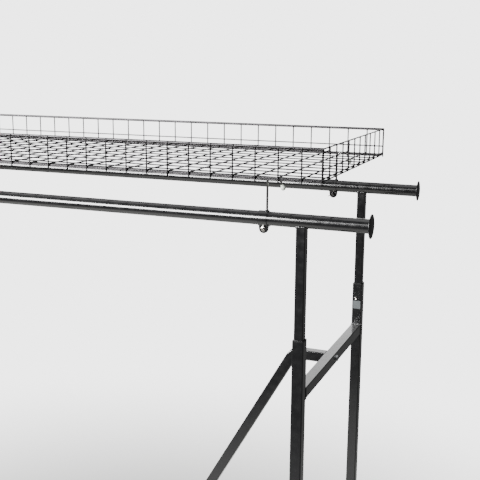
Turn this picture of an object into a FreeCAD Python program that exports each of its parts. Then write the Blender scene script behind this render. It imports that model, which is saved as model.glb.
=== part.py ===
"""Rolling clothes rack: a double hang rail on telescoping square uprights, with a wire basket on top.

Frame: origin on the floor at the middle of the rack, +X to the right, +Y to the rear, +Z up. Millimetres.
"""
import FreeCAD, Part
import math
import os
import re

import Sketcher

# The driving dimensions, by group. Every size below is worked out from these.
SIZES = {
    # rails and uprights
    "post_span": 1524,
    "rail_spacing": 518,
    "rail_dia": 30,
    "rail_wall": 1.5,
    "rail_overhang": 146,
    "upright_side": 21,
    "post_side": 26,
    "tube_wall": 1.5,
    "tube_corner": 2.2,
    "post_top": 1338,
    "extension": 259,
    "lift_travel": 220,
    "grip_length": 100,
    "weld_gap": 0.1,
    # rail end caps
    "cap_dia": 51,
    "cap_rim": 1.2,
    "cap_dome": 3.2,
    "cap_edge": 0.4,
    "plug_depth": 20,
    "plug_wall": 2,
    "push_clearance": 0.1,
    # telescoping guides and height screws
    "guide_length": 34,
    "guide_clearance": 0.3,
    "guide_lip": 3,
    "screw_drop": 39,
    "screw_offset": 4,
    "screw_dia": 6,
    "screw_head_dia": 8.4,
    "screw_head_tall": 3.4,
    "screw_socket_across": 4,
    "screw_socket_deep": 1.8,
    "screw_tip_gap": 0.1,
    "running_clearance": 0.05,
    # cross bars and braces
    "cross_bar_drop": 111,
    "brace_side": 25,
    "brace_run": 95,
    "brace_bend": 22,
    "brace_foot_reach": 60,
    "brace_foot_rise": 24,
    "brace_tail": 12,
    "bolt_dia": 8,
    "bolt_clearance": 0.3,
    "hex_share": 1.65,
    "head_share": 0.65,
    "nut_share": 0.8,
    "bolt_proud": 2,
    "insert_length": 26,
    "foot_wall": 2.2,
    "foot_plate_length": 54,
    "foot_ear_wide": 26,
    "foot_clearance": 0.3,
    # base
    "caster_height": 96,
    "base_bar_wide": 40,
    "base_bar_tall": 30,
    "base_bar_wall": 2,
    "base_bar_corner": 3,
    "base_bar_length": 614,
    "end_plug_plate": 2,
    "end_plug_depth": 16,
    "long_bar_side": 25,
    "long_bar_gap": 2,
    "socket_wall": 2.2,
    "socket_clearance": 0.3,
    "socket_length": 60,
    "small_bolt_dia": 6,
    # casters
    "caster_inset": 22,
    "caster_trail": 28,
    "wheel_dia": 75,
    "wheel_width": 24,
    "tyre_thick": 7,
    "tyre_crown": 3,
    "hub_recess": 6,
    "hub_boss_dia": 22,
    "axle_dia": 8,
    "axle_clearance": 0.05,
    "side_clearance": 0.3,
    "fork_wall": 2.5,
    "fork_gap": 26,
    "fork_nose": 17,
    "fork_back": 14,
    "fork_ear_dia": 22,
    "race_dia": 32,
    "race_tall": 3.2,
    "top_plate_dia": 42,
    "top_plate_thick": 3.5,
    "kingpin_dia": 9,
    "kingpin_head_dia": 15,
    "kingpin_head_thick": 2.5,
    "stem_dia": 10,
    "brake_pivot_back": 6,
    "brake_pivot_drop": 9,
    "brake_pivot_dia": 5,
    "brake_hub_dia": 9,
    "brake_reach": 46,
    "brake_thick": 3.5,
    "brake_pedal_wide": 34,
    "brake_pedal_long": 22,
    "brake_pad_reach": 8,
    "brake_pad_drop": 4.6,
    # basket supports
    "front_support_inset": 85,
    "rear_support_inset": 78,
    "rod_offset": 7,
    "strap_wide": 21,
    "strap_thick": 1.5,
    "ear_gap": 2,
    "ear_drop": 22.5,
    "ear_dia": 20,
    "strap_bolt_dia": 5,
    "pan_head_dia": 12,
    "pan_head_tall": 3.6,
    "wing_span": 26,
    "wing_tall": 9,
    "wing_thick": 2,
    "wing_hub_dia": 9,
    "wing_hub_tall": 5,
    "rod_dia": 5,
    "hook_bend": 6.5,
    "hook_bridge": 27,
    "hook_tail_out": 7.8,
    "hook_tail_drop": 20,
    "ball_dia": 11,
    # basket
    "basket_length": 1620,
    "basket_depth": 558.8,
    "basket_rise": 86,
    "grid_pitch": 50.8,
    "wire_side": 2.84,
    "rim_side": 5.63,
    "wall_height": 67,
    "mid_wire_height": 23,
    "wire_tail": 5,
    "weld_sink": 0.3,
    "panel_gap": 0.1,
}

doc = FreeCAD.newDocument("rolling_clothes_rack")
sheet = doc.addObject("Spreadsheet::Sheet", "sizes")
for row, (alias, number) in enumerate(SIZES.items(), start=1):
    sheet.set(f"A{row}", alias.replace("_", " "))
    sheet.set(f"B{row}", str(number))
    sheet.setAlias(f"B{row}", alias)
doc.recompute()

TURNS = {
    "+X": FreeCAD.Rotation(FreeCAD.Vector(0, 1, 0), 90),
    "-X": FreeCAD.Rotation(FreeCAD.Vector(0, 1, 0), -90),
    "+Y": FreeCAD.Rotation(FreeCAD.Vector(1, 0, 0), -90),
    "-Y": FreeCAD.Rotation(FreeCAD.Vector(1, 0, 0), 90),
    "+Z": FreeCAD.Rotation(),
    "-Z": FreeCAD.Rotation(FreeCAD.Vector(1, 0, 0), 180),
}
ENDS = {"left": -1, "right": 1}
SIDES = {"front": -1, "rear": 1}
CORNERS = [(f"{side}_{end}", ENDS[end], SIDES[side]) for side in SIDES for end in ENDS]
nodes = []


def linked(expression):
    """An expression in the sheet's aliases, as FreeCAD reads it from another object."""
    def renamed(word):
        return f"sizes.{word[0]}" if word[0] in SIZES else word[0]
    return re.sub(r"[a-z][a-z_]*", renamed, expression)


def number(expression):
    """What an expression in the sheet's aliases comes to, in millimetres."""
    result = sheet.evalExpression(linked(expression))
    return float(getattr(result, "Value", result))


def bind(thing, **expressions):
    """Binds properties of an object to expressions in the sheet's aliases."""
    for name, expression in expressions.items():
        thing.setExpression(name, linked(expression))


def place(thing, x="0", y="0", z="0", turn="+Z"):
    """Turns an object and binds its position."""
    thing.Placement = FreeCAD.Placement(FreeCAD.Vector(), TURNS[turn])
    for axis, expression in zip("xyz", (x, y, z)):
        thing.setExpression(f"Placement.Base.{axis}", linked(expression))
    return thing


def node(thing, label):
    """Names a finished sub-part and lists it for export."""
    thing.Label = label
    nodes.append(thing)
    return thing


# Part primitives and booleans.

def cylinder(diameter, length, **where):
    made = doc.addObject("Part::Cylinder", "cylinder")
    bind(made, Radius=f"({diameter}) / 2", Height=length)
    return place(made, **where)


def block(wide, deep, tall, x="0", y="0", z="0"):
    """A box centred on x and y, standing on z."""
    made = doc.addObject("Part::Box", "block")
    bind(made, Length=wide, Width=deep, Height=tall)
    return place(made, f"{x} - ({wide}) / 2", f"{y} - ({deep}) / 2", z)


def fused(*pieces):
    made = doc.addObject("Part::MultiFuse", "fused")
    made.Shapes = list(pieces)
    return made


def cut(base, *tools):
    made = doc.addObject("Part::Cut", "cut")
    made.Base = base
    made.Tool = tools[0] if len(tools) == 1 else fused(*tools)
    return made


def group(label, pieces):
    """Like pieces kept as separate solids of one node."""
    made = doc.addObject("Part::Compound", label)
    made.Links = pieces
    return node(made, label)


# PartDesign bodies and their sketches.

def new_body(label, **where):
    return place(doc.addObject("PartDesign::Body", label), **where)


def new_sketch(body, role, offset="0"):
    """A sketch on one of the body's own origin planes, moved along the plane's normal by offset."""
    sketch = body.newObject("Sketcher::SketchObject", f"{body.Name}_sketch")
    plane = [feature for feature in body.Origin.OriginFeatures if feature.Role == role][0]
    sketch.AttachmentSupport = [(plane, "")]
    sketch.MapMode = "FlatFace"
    sketch.setExpression("AttachmentOffset.Base.z", linked(offset))
    return sketch


def dimension(sketch, kind, expression, *elements):
    """A sketch dimension bound to an expression in the sheet's aliases."""
    index = sketch.addConstraint(Sketcher.Constraint(kind, *elements, number(expression)))
    sketch.setExpression(f"Constraints[{index}]", linked(expression))


def outline(sketch, corners):
    """A closed anticlockwise outline. A corner is (x, y), or (x, y, radius) where a bulging arc leads on."""
    points = [FreeCAD.Vector(number(corner[0]), number(corner[1]), 0) for corner in corners]
    first = sketch.GeometryCount
    count = len(corners)
    for index, corner in enumerate(corners):
        start = points[index]
        end = points[(index + 1) % count]
        if len(corner) == 2:
            sketch.addGeometry(Part.LineSegment(start, end))
            continue
        chord = end - start
        outward = FreeCAD.Vector(chord.y, -chord.x, 0).normalize()
        radius = number(corner[2])
        rise = radius - math.sqrt(max(0, radius ** 2 - (chord.Length / 2) ** 2))
        sketch.addGeometry(Part.Arc(start, (start + end) * 0.5 + outward * rise, end))
    for index, corner in enumerate(corners):
        edge = first + index
        sketch.addConstraint(Sketcher.Constraint("Coincident", edge, 2, first + (index + 1) % count, 1))
        dimension(sketch, "DistanceX", corner[0], -1, 1, edge, 1)
        dimension(sketch, "DistanceY", corner[1], -1, 1, edge, 1)
        if len(corner) == 3:
            dimension(sketch, "Radius", corner[2], edge)


def circle(sketch, diameter, x="0", y="0"):
    centre = FreeCAD.Vector(number(x), number(y), 0)
    edge = sketch.addGeometry(Part.Circle(centre, FreeCAD.Vector(0, 0, 1), number(diameter) / 2))
    dimension(sketch, "DistanceX", x, -1, 1, edge, 3)
    dimension(sketch, "DistanceY", y, -1, 1, edge, 3)
    dimension(sketch, "Diameter", diameter, edge)


def rounded_rectangle(sketch, wide, tall, corner):
    """A centred rectangle with rounded corners."""
    across = f"({wide}) / 2"
    up = f"({tall}) / 2"
    outline(sketch, [
        (f"({corner}) - {across}", f"-{up}"),
        (f"{across} - ({corner})", f"-{up}", corner),
        (across, f"({corner}) - {up}"),
        (across, f"{up} - ({corner})", corner),
        (f"{across} - ({corner})", up),
        (f"({corner}) - {across}", up, corner),
        (f"-{across}", f"{up} - ({corner})"),
        (f"-{across}", f"({corner}) - {up}", corner),
    ])


def pad(body, sketch, length, side="One side"):
    made = body.newObject("PartDesign::Pad", f"{body.Name}_pad")
    made.Profile = sketch
    made.SideType = side
    bind(made, Length=length)
    return made


def pocket_through(body, sketch):
    """A cut both ways through the whole body."""
    made = body.newObject("PartDesign::Pocket", f"{body.Name}_pocket")
    made.Profile = sketch
    made.SideType = "Symmetric"
    made.Type = "ThroughAll"
    return made


def revolve(body, sketch, axis):
    made = body.newObject("PartDesign::Revolution", f"{body.Name}_revolution")
    made.Profile = sketch
    made.ReferenceAxis = (sketch, [axis])
    made.Angle = 360
    return made


def round_edges(body, base, radius, chosen):
    """Fillets the edges of a feature that chosen(edge) picks."""
    doc.recompute()
    names = [f"Edge{index}" for index, edge in enumerate(base.Shape.Edges, start=1) if chosen(edge)]
    made = body.newObject("PartDesign::Fillet", f"{body.Name}_fillet")
    made.Base = (base, names)
    bind(made, Radius=radius)
    return made


def tube(label, wide, tall, wall, corner, length, **where):
    """A rectangular tube with drawn corners, running along its body's Z from the origin."""
    body = new_body(label, **where)
    section = new_sketch(body, "XY_Plane")
    rounded_rectangle(section, wide, tall, corner)
    rounded_rectangle(section, f"{wide} - 2 * {wall}", f"{tall} - 2 * {wall}", f"({corner}) - {wall}")
    pad(body, section, length)
    return body


def hexagon(sketch, across):
    """A centred hexagon, by its size across flats."""
    corner = f"({across}) / sqrt(3)"
    flat = f"({across}) / 2"
    outline(sketch, [
        (corner, "0"),
        (f"{corner} / 2", flat),
        (f"-{corner} / 2", flat),
        (f"-{corner}", "0"),
        (f"-{corner} / 2", f"-{flat}"),
        (f"{corner} / 2", f"-{flat}"),
    ])


def bolt(diameter, reach, **where):
    """A hex bolt: its head stands behind the given point and its shank reaches ahead of it."""
    body = new_body("bolt", **where)
    head = new_sketch(body, "XY_Plane", f"-{diameter} * head_share")
    hexagon(head, f"{diameter} * hex_share")
    pad(body, head, f"{diameter} * head_share")
    shank = new_sketch(body, "XY_Plane")
    circle(shank, diameter)
    pad(body, shank, reach)
    return body


def nut(diameter, **where):
    """A hex nut standing on the given point, bored a little wide of its bolt."""
    body = new_body("nut", **where)
    section = new_sketch(body, "XY_Plane")
    hexagon(section, f"{diameter} * hex_share")
    circle(section, f"{diameter} + 2 * push_clearance")
    pad(body, section, f"{diameter} * nut_share")
    return body


def dome(radius, rise):
    """The radius of an arc that rises over half a chord."""
    return f"(({radius})^2 + ({rise})^2) / (2 * ({rise}))"


def bent_path(points, bend):
    """Straight runs through the points, joined by tangent arcs of one radius."""
    edges = []
    start = points[0]
    for before, corner, after in zip(points, points[1:], points[2:]):
        back = (before - corner).normalize()
        ahead = (after - corner).normalize()
        half = back.getAngle(ahead) / 2
        setback = bend / math.tan(half)
        middle = corner + (back + ahead).normalize() * (bend / math.sin(half) - bend)
        arc_start = corner + back * setback
        arc_end = corner + ahead * setback
        edges.append(Part.makeLine(start, arc_start))
        edges.append(Part.Arc(arc_start, middle, arc_end).toShape())
        start = arc_end
    edges.append(Part.makeLine(start, points[-1]))
    return Part.Wire(edges)


def swept(path, section):
    """A solid that carries a closed sketch along a path."""
    made = doc.addObject("Part::Sweep", "swept")
    made.Sections = [section]
    made.Spine = (path, [f"Edge{index}" for index in range(1, len(path.Shape.Edges) + 1)])
    made.Solid = True
    made.Frenet = False
    return made


def path_object(points, bend):
    path = doc.addObject("Part::Feature", "path")
    path.Shape = bent_path([FreeCAD.Vector(*map(number, point)) for point in points], number(bend))
    return path


# Heights and places that several pieces share.
BAR_AXIS = "caster_height + base_bar_tall / 2"
BAR_TOP = "caster_height + base_bar_tall"
LONG_TOP = f"{BAR_AXIS} + long_bar_side / 2"
RAIL_AXIS = "post_top + guide_lip + extension"
UPRIGHT_FOOT = "post_top - lift_travel - grip_length"
BRACE_AXIS = "post_top - cross_bar_drop - brace_side / 2"


def post_x(end):
    return f"{end} * post_span / 2"


def rail_y(side):
    return f"{side} * rail_spacing / 2"


# Base: two end bars on the casters, with one long bar pushed into a welded socket on each.

def end_bar(name, end):
    bar = tube("end_bar_tube", "base_bar_wide", "base_bar_tall", "base_bar_wall", "base_bar_corner",
               "base_bar_length", x=post_x(end), y="-base_bar_length / 2", z=BAR_AXIS, turn="+Y")
    holes = [
        cylinder("stem_dia + 2 * bolt_clearance", "base_bar_tall + 2", x=post_x(end),
                 y=f"{side} * (base_bar_length / 2 - caster_inset)", z="caster_height - 1")
        for side in SIDES.values()
    ]
    node(cut(bar, *holes), f"end_bar_{name}")


def end_plug(end, side):
    """A plastic cap plate with a plug that fills the end of an end bar."""
    turn = "+Y" if side > 0 else "-Y"
    body = new_body("end_plug", x=post_x(end), y=f"{side} * base_bar_length / 2", z=BAR_AXIS, turn=turn)
    plate = new_sketch(body, "XY_Plane")
    rounded_rectangle(plate, "base_bar_wide", "base_bar_tall", "base_bar_corner")
    pad(body, plate, "end_plug_plate")
    plug = new_sketch(body, "XY_Plane", "-end_plug_depth")
    rounded_rectangle(plug, "base_bar_wide - 2 * base_bar_wall - 2 * push_clearance",
                      "base_bar_tall - 2 * base_bar_wall - 2 * push_clearance",
                      "base_bar_corner - base_bar_wall")
    pad(body, plug, "end_plug_depth")
    return body


def socket_x(end):
    return f"{end} * (post_span / 2 - base_bar_wide / 2 - socket_length / 2)"


SOCKET_SIDE = "long_bar_side + 2 * socket_clearance + 2 * socket_wall"
FOOT_SCREW_REACH = "(foot_plate_length + foot_ear_wide) / 4"


def foot_x(end):
    return f"{end} * brace_foot_reach"


def foot_screw_places():
    return [f"{foot_x(end)} + {way} * {FOOT_SCREW_REACH}" for end in ENDS.values() for way in (-1, 1)]


def socket(end):
    """A short square sleeve welded to the inner face of an end bar."""
    sleeve = tube("socket_tube", SOCKET_SIDE, SOCKET_SIDE, "socket_wall", "tube_corner + socket_wall",
                  "socket_length", x=f"{end} * (post_span - base_bar_wide) / 2", z=BAR_AXIS,
                  turn="-X" if end > 0 else "+X")
    return cut(sleeve, side_hole("small_bolt_dia", socket_x(end), BAR_AXIS))


def side_hole(diameter, x, z):
    """A clearance hole drilled from front to rear."""
    return cylinder(f"{diameter} + 2 * bolt_clearance", "2 * base_bar_wide", x=x, y="-base_bar_wide", z=z,
                    turn="+Y")


def long_bar():
    length = "post_span - base_bar_wide - 2 * long_bar_gap"
    bar = tube("long_bar_tube", "long_bar_side", "long_bar_side", "tube_wall", "tube_corner", length,
               x=f"-({length}) / 2", z=BAR_AXIS, turn="+X")
    holes = [side_hole("small_bolt_dia", socket_x(end), BAR_AXIS) for end in ENDS.values()]
    for x in foot_screw_places():
        holes.append(cylinder("small_bolt_dia + 2 * bolt_clearance", "long_bar_side + 2", x=x,
                              z=f"{LONG_TOP} - long_bar_side - 1"))
    node(cut(bar, *holes), "base_long_bar")


def base_bolts():
    """The bolts and nuts that hold the sockets and the brace feet."""
    pieces = []
    for end in ENDS.values():
        pieces.append(bolt("small_bolt_dia", f"{SOCKET_SIDE} + small_bolt_dia * nut_share + bolt_proud",
                           x=socket_x(end), y=f"-({SOCKET_SIDE}) / 2", z=BAR_AXIS, turn="+Y"))
        pieces.append(nut("small_bolt_dia", x=socket_x(end), y=f"({SOCKET_SIDE}) / 2", z=BAR_AXIS, turn="+Y"))
    for x in foot_screw_places():
        pieces.append(bolt("small_bolt_dia",
                           "foot_wall + long_bar_side + small_bolt_dia * nut_share + bolt_proud",
                           x=x, z=f"{LONG_TOP} + foot_wall", turn="-Z"))
        pieces.append(nut("small_bolt_dia", x=x, z=f"{LONG_TOP} - long_bar_side", turn="-Z"))
    group("base_bolts", pieces)


for name, end in ENDS.items():
    end_bar(name, end)
group("end_bar_plugs", [end_plug(end, side) for end in ENDS.values() for side in SIDES.values()])
group("base_sockets", [socket(end) for end in ENDS.values()])
long_bar()
base_bolts()


# End frames: two outer posts and a cross bar, with a brace from the cross bar down to the long bar.

def screw_x(end):
    return f"{end} * (post_span / 2 - screw_offset)"


SCREW_HEIGHT = "post_top - screw_drop"


def outer_post(name, end, side):
    post = tube("outer_post_tube", "post_side", "post_side", "tube_wall", "tube_corner",
                f"post_top - ({BAR_TOP})", x=post_x(end), y=rail_y(side), z=BAR_TOP)
    hole = cylinder("screw_dia + 2 * running_clearance", "post_side", x=screw_x(end), y=rail_y(side),
                    z=SCREW_HEIGHT, turn="-Y" if side > 0 else "+Y")
    node(cut(post, hole), f"outer_post_{name}")


def top_guide(end, side):
    """A plastic liner in the mouth of an outer post, with a lip that sits on its end."""
    body = new_body("top_guide", x=post_x(end), y=rail_y(side), z="post_top")
    bore = "upright_side + 2 * guide_clearance"
    lip = new_sketch(body, "XY_Plane")
    rounded_rectangle(lip, "post_side", "post_side", "tube_corner")
    rounded_rectangle(lip, bore, bore, "tube_corner")
    pad(body, lip, "guide_lip")
    liner = new_sketch(body, "XY_Plane", "-guide_length")
    outside = "post_side - 2 * tube_wall"
    rounded_rectangle(liner, outside, outside, "tube_corner - tube_wall")
    rounded_rectangle(liner, bore, bore, "tube_corner")
    pad(body, liner, "guide_length")
    return body


def height_screw(name, end, side):
    """A domed socket screw through an outer post, bearing on the upright inside it."""
    face = f"{side} * (rail_spacing / 2 - post_side / 2 - screw_tip_gap)"
    body = new_body("height_screw", x=screw_x(end), y=face, z=SCREW_HEIGHT, turn="-Y" if side > 0 else "+Y")
    radius = "screw_head_dia / 2"
    half = new_sketch(body, "XZ_Plane")
    outline(half, [
        ("0", "-(post_side - upright_side) / 2"),
        ("screw_dia / 2", "-(post_side - upright_side) / 2"),
        ("screw_dia / 2", "0"),
        (radius, "0"),
        (radius, "screw_head_tall / 4", dome(radius, "screw_head_tall * 3 / 4")),
        ("0", "screw_head_tall"),
    ])
    revolve(body, half, "V_Axis")
    key = new_sketch(body, "XY_Plane", "screw_head_tall")
    hexagon(key, "screw_socket_across")
    made = body.newObject("PartDesign::Pocket", "key_pocket")
    made.Profile = key
    bind(made, Length="screw_socket_deep")
    node(body, f"height_screw_{name}")


def cross_bar(name, end):
    bar = tube("cross_bar_tube", "post_side", "post_side", "tube_wall", "tube_corner",
               "rail_spacing - post_side", x=post_x(end), y="-(rail_spacing - post_side) / 2",
               z="post_top - cross_bar_drop - post_side / 2", turn="+Y")
    hole = cylinder("bolt_dia + 2 * bolt_clearance", "2 * post_side", x=f"{post_x(end)} - post_side",
                    z=BRACE_AXIS, turn="+X")
    node(cut(bar, hole), f"cross_bar_{name}")


def brace(name, end):
    """A square tube that leaves the cross bar level, bends once and runs straight down to its foot."""
    start = (f"{end} * (post_span - post_side) / 2", "0", BRACE_AXIS)
    corner = (f"{end} * (post_span / 2 - brace_run)", "0", BRACE_AXIS)
    foot = (foot_x(end), "0", f"{LONG_TOP} + brace_foot_rise")
    run = f"(post_span / 2 - brace_run - brace_foot_reach)"
    drop = f"({BRACE_AXIS} - ({LONG_TOP}) - brace_foot_rise)"
    length = f"sqrt({run}^2 + {drop}^2)"
    tail = (f"{foot[0]} - {end} * brace_tail * {run} / {length}", "0",
            f"{foot[2]} - brace_tail * {drop} / {length}")
    path = path_object([start, corner, tail], "brace_bend")
    solids = []
    for shrink in ("0", "tube_wall"):
        section = place(doc.addObject("Sketcher::SketchObject", "brace_section"), *start, turn="+X")
        side = f"brace_side - 2 * {shrink}"
        rounded_rectangle(section, side, side, f"tube_corner - {shrink}")
        solids.append(swept(path, section))
    hole = side_hole("bolt_dia", foot[0], foot[2])
    node(cut(solids[0], solids[1], hole), f"brace_{name}")


def brace_insert(end):
    """A threaded block pressed into the top end of a brace."""
    body = new_body("brace_insert", x=f"{end} * (post_span - post_side) / 2", z=BRACE_AXIS,
                    turn="-X" if end > 0 else "+X")
    section = new_sketch(body, "XY_Plane")
    side = "brace_side - 2 * tube_wall - 2 * push_clearance"
    rounded_rectangle(section, side, side, "tube_corner - tube_wall")
    circle(section, "bolt_dia + 2 * push_clearance")
    pad(body, section, "insert_length")
    return body


def brace_bolts():
    """One bolt through each cross bar into its brace, and one with a nut through each brace foot."""
    pieces = []
    half_width = "(brace_side / 2 + foot_clearance + foot_wall)"
    foot_height = f"{LONG_TOP} + brace_foot_rise"
    for end in ENDS.values():
        pieces.append(bolt("bolt_dia", "post_side + insert_length - bolt_proud",
                           x=f"{end} * (post_span + post_side) / 2", z=BRACE_AXIS,
                           turn="-X" if end > 0 else "+X"))
        pieces.append(bolt("bolt_dia", f"2 * {half_width} + bolt_dia * nut_share + bolt_proud", x=foot_x(end),
                           y=f"-{half_width}", z=foot_height, turn="+Y"))
        pieces.append(nut("bolt_dia", x=foot_x(end), y=half_width, z=foot_height, turn="+Y"))
    group("brace_bolts", pieces)


def foot_bracket(end):
    """A pressed channel on the long bar, with two ears that take the brace foot between them."""
    x = foot_x(end)
    bolt_height = f"{LONG_TOP} + brace_foot_rise"
    half_gap = "(brace_side / 2 + foot_clearance)"
    plate = block("foot_plate_length", f"2 * {half_gap} + 2 * foot_wall", "foot_wall", x=x, z=LONG_TOP)
    pieces = [plate]
    for side in SIDES.values():
        middle = f"{side} * ({half_gap} + foot_wall / 2)"
        pieces.append(block("foot_ear_wide", "foot_wall", "brace_foot_rise", x=x, y=middle, z=LONG_TOP))
        pieces.append(cylinder("foot_ear_wide", "foot_wall", x=x, y=f"{middle} - foot_wall / 2",
                               z=bolt_height, turn="+Y"))
    screw_holes = [
        cylinder("small_bolt_dia + 2 * bolt_clearance", "foot_wall + 2",
                 x=f"{x} + {way} * {FOOT_SCREW_REACH}", z=f"{LONG_TOP} - 1")
        for way in (-1, 1)
    ]
    return cut(fused(*pieces), side_hole("bolt_dia", x, bolt_height), *screw_holes)


for name, end, side in CORNERS:
    outer_post(name, end, side)
    height_screw(name, end, side)
group("post_guides", [top_guide(end, side) for _, end, side in CORNERS])
for name, end in ENDS.items():
    cross_bar(name, end)
    brace(name, end)
group("brace_inserts", [brace_insert(end) for end in ENDS.values()])
group("foot_brackets", [foot_bracket(end) for end in ENDS.values()])
brace_bolts()


# Casters: a stem and top plate bolted through the end bar, a fork that swivels on it, and a wheel.
# Heights here are measured down from the end bar's underside.
RACE_TOP = "-top_plate_thick - side_clearance"
CROWN_TOP = f"{RACE_TOP} - race_tall"
CROWN_BOTTOM = f"{CROWN_TOP} - fork_wall"
RIVET_TOP = f"{CROWN_BOTTOM} - side_clearance"
AXLE_HEIGHT = "wheel_dia / 2 - caster_height"
FORK_WIDE = "fork_gap + 2 * fork_wall"
BRAKED = ("front_left", "front_right")


def caster_y(side):
    return f"{side} * (base_bar_length / 2 - caster_inset)"


def caster_stem(end, side):
    """Kingpin, top plate and stem, turned as one."""
    body = new_body("caster_stem", x=post_x(end), y=caster_y(side), z="caster_height")
    half = new_sketch(body, "XZ_Plane")
    stem_top = "base_bar_tall + stem_dia * nut_share + bolt_proud"
    outline(half, [
        ("0", f"{RIVET_TOP} - kingpin_head_thick"),
        ("kingpin_head_dia / 2", f"{RIVET_TOP} - kingpin_head_thick"),
        ("kingpin_head_dia / 2", RIVET_TOP),
        ("kingpin_dia / 2", RIVET_TOP),
        ("kingpin_dia / 2", "-top_plate_thick"),
        ("top_plate_dia / 2", "-top_plate_thick"),
        ("top_plate_dia / 2", "0"),
        ("stem_dia / 2", "0"),
        ("stem_dia / 2", stem_top),
        ("0", stem_top),
    ])
    revolve(body, half, "V_Axis")
    return body


def caster_fork(name, end, side):
    """A pressed steel yoke: two cheeks, a crown with a ball race, and bores for the kingpin and axle."""
    body = new_body("caster_fork", x=post_x(end), y=caster_y(side), z="caster_height")
    ear = "fork_ear_dia / 2"
    cheeks = new_sketch(body, "XZ_Plane")
    outline(cheeks, [
        (f"-caster_trail - {ear}", AXLE_HEIGHT, ear),
        ("-caster_trail", f"{AXLE_HEIGHT} - {ear}", ear),
        (f"-caster_trail + {ear}", AXLE_HEIGHT),
        ("fork_nose", f"{CROWN_TOP} - 3 * fork_wall"),
        ("fork_nose", CROWN_TOP),
        ("-caster_trail - fork_back", CROWN_TOP),
        ("-caster_trail - fork_back", f"{CROWN_TOP} - 2 * brake_pivot_drop"),
    ])
    blank = pad(body, cheeks, FORK_WIDE, side="Symmetric")
    fold = "fork_wall * 1.6"
    crown_top = number(CROWN_TOP)
    def folded(edge):
        on_top = all(abs(vertex.Point.z - crown_top) < 0.01 for vertex in edge.Vertexes)
        return on_top and edge.Length > number(FORK_WIDE) + 1
    folds = round_edges(body, blank, fold, folded)
    slot = new_sketch(body, "YZ_Plane")
    outline(slot, [
        ("-fork_gap / 2", "-caster_height"),
        ("fork_gap / 2", "-caster_height"),
        ("fork_gap / 2", CROWN_BOTTOM),
        ("-fork_gap / 2", CROWN_BOTTOM),
    ])
    pocket_through(body, slot)
    race = new_sketch(body, "XY_Plane", CROWN_TOP)
    circle(race, "race_dia")
    pad(body, race, "race_tall")
    kingpin = new_sketch(body, "XY_Plane")
    circle(kingpin, "kingpin_dia + 2 * running_clearance")
    pocket_through(body, kingpin)
    axle = new_sketch(body, "XZ_Plane")
    circle(axle, "axle_dia + 2 * push_clearance", x="-caster_trail", y=AXLE_HEIGHT)
    pocket_through(body, axle)
    if name in BRAKED:
        pivot = new_sketch(body, "XZ_Plane")
        circle(pivot, "brake_pivot_dia + 2 * running_clearance", x="-caster_trail - brake_pivot_back",
               y=f"{CROWN_TOP} - brake_pivot_drop")
        pocket_through(body, pivot)
    node(body, f"caster_fork_{name}")


def wheel_body(label, end, side):
    """A body whose Y axis is the axle."""
    return new_body(label, x=f"{post_x(end)} - caster_trail", y=caster_y(side), z="wheel_dia / 2")


def caster_wheel(name, end, side):
    """A moulded wheel centre: a bored boss, a web and a rim."""
    body = wheel_body("caster_wheel", end, side)
    boss = "fork_gap / 2 - side_clearance"
    web = "wheel_width / 2 - hub_recess"
    seat = "wheel_dia / 2 - tyre_thick"
    half = new_sketch(body, "YZ_Plane")
    outline(half, [
        (f"-({boss})", "axle_dia / 2 + axle_clearance"),
        (boss, "axle_dia / 2 + axle_clearance"),
        (boss, "hub_boss_dia / 2"),
        (web, "hub_boss_dia / 2"),
        (web, f"{seat} - tyre_thick / 2"),
        ("wheel_width / 2", f"{seat} - tyre_thick / 2"),
        ("wheel_width / 2", seat),
        ("-wheel_width / 2", seat),
        ("-wheel_width / 2", f"{seat} - tyre_thick / 2"),
        (f"-({web})", f"{seat} - tyre_thick / 2"),
        (f"-({web})", "hub_boss_dia / 2"),
        (f"-({boss})", "hub_boss_dia / 2"),
    ])
    revolve(body, half, "H_Axis")
    node(body, f"caster_wheel_{name}")


def caster_tyre(name, end, side):
    """A crowned rubber tread round the wheel centre."""
    body = wheel_body("caster_tyre", end, side)
    seat = "wheel_dia / 2 - tyre_thick + push_clearance"
    half = new_sketch(body, "YZ_Plane")
    outline(half, [
        ("-wheel_width / 2", seat),
        ("wheel_width / 2", seat),
        ("wheel_width / 2", "wheel_dia / 2 - tyre_crown", dome("wheel_width / 2", "tyre_crown")),
        ("-wheel_width / 2", "wheel_dia / 2 - tyre_crown"),
    ])
    revolve(body, half, "H_Axis")
    node(body, f"caster_tyre_{name}")


def caster_axle(name, end, side):
    """A rivet through both cheeks, with a flat head each side."""
    body = wheel_body("caster_axle", end, side)
    cheek = f"({FORK_WIDE}) / 2"
    face = f"{cheek} + axle_dia / 4"
    half = new_sketch(body, "YZ_Plane")
    outline(half, [
        (f"-({face})", "0"),
        (face, "0"),
        (face, "axle_dia * 0.8"),
        (cheek, "axle_dia * 0.8"),
        (cheek, "axle_dia / 2"),
        (f"-({cheek})", "axle_dia / 2"),
        (f"-({cheek})", "axle_dia * 0.8"),
        (f"-({face})", "axle_dia * 0.8"),
    ])
    revolve(body, half, "H_Axis")
    node(body, f"caster_axle_{name}")


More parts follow.
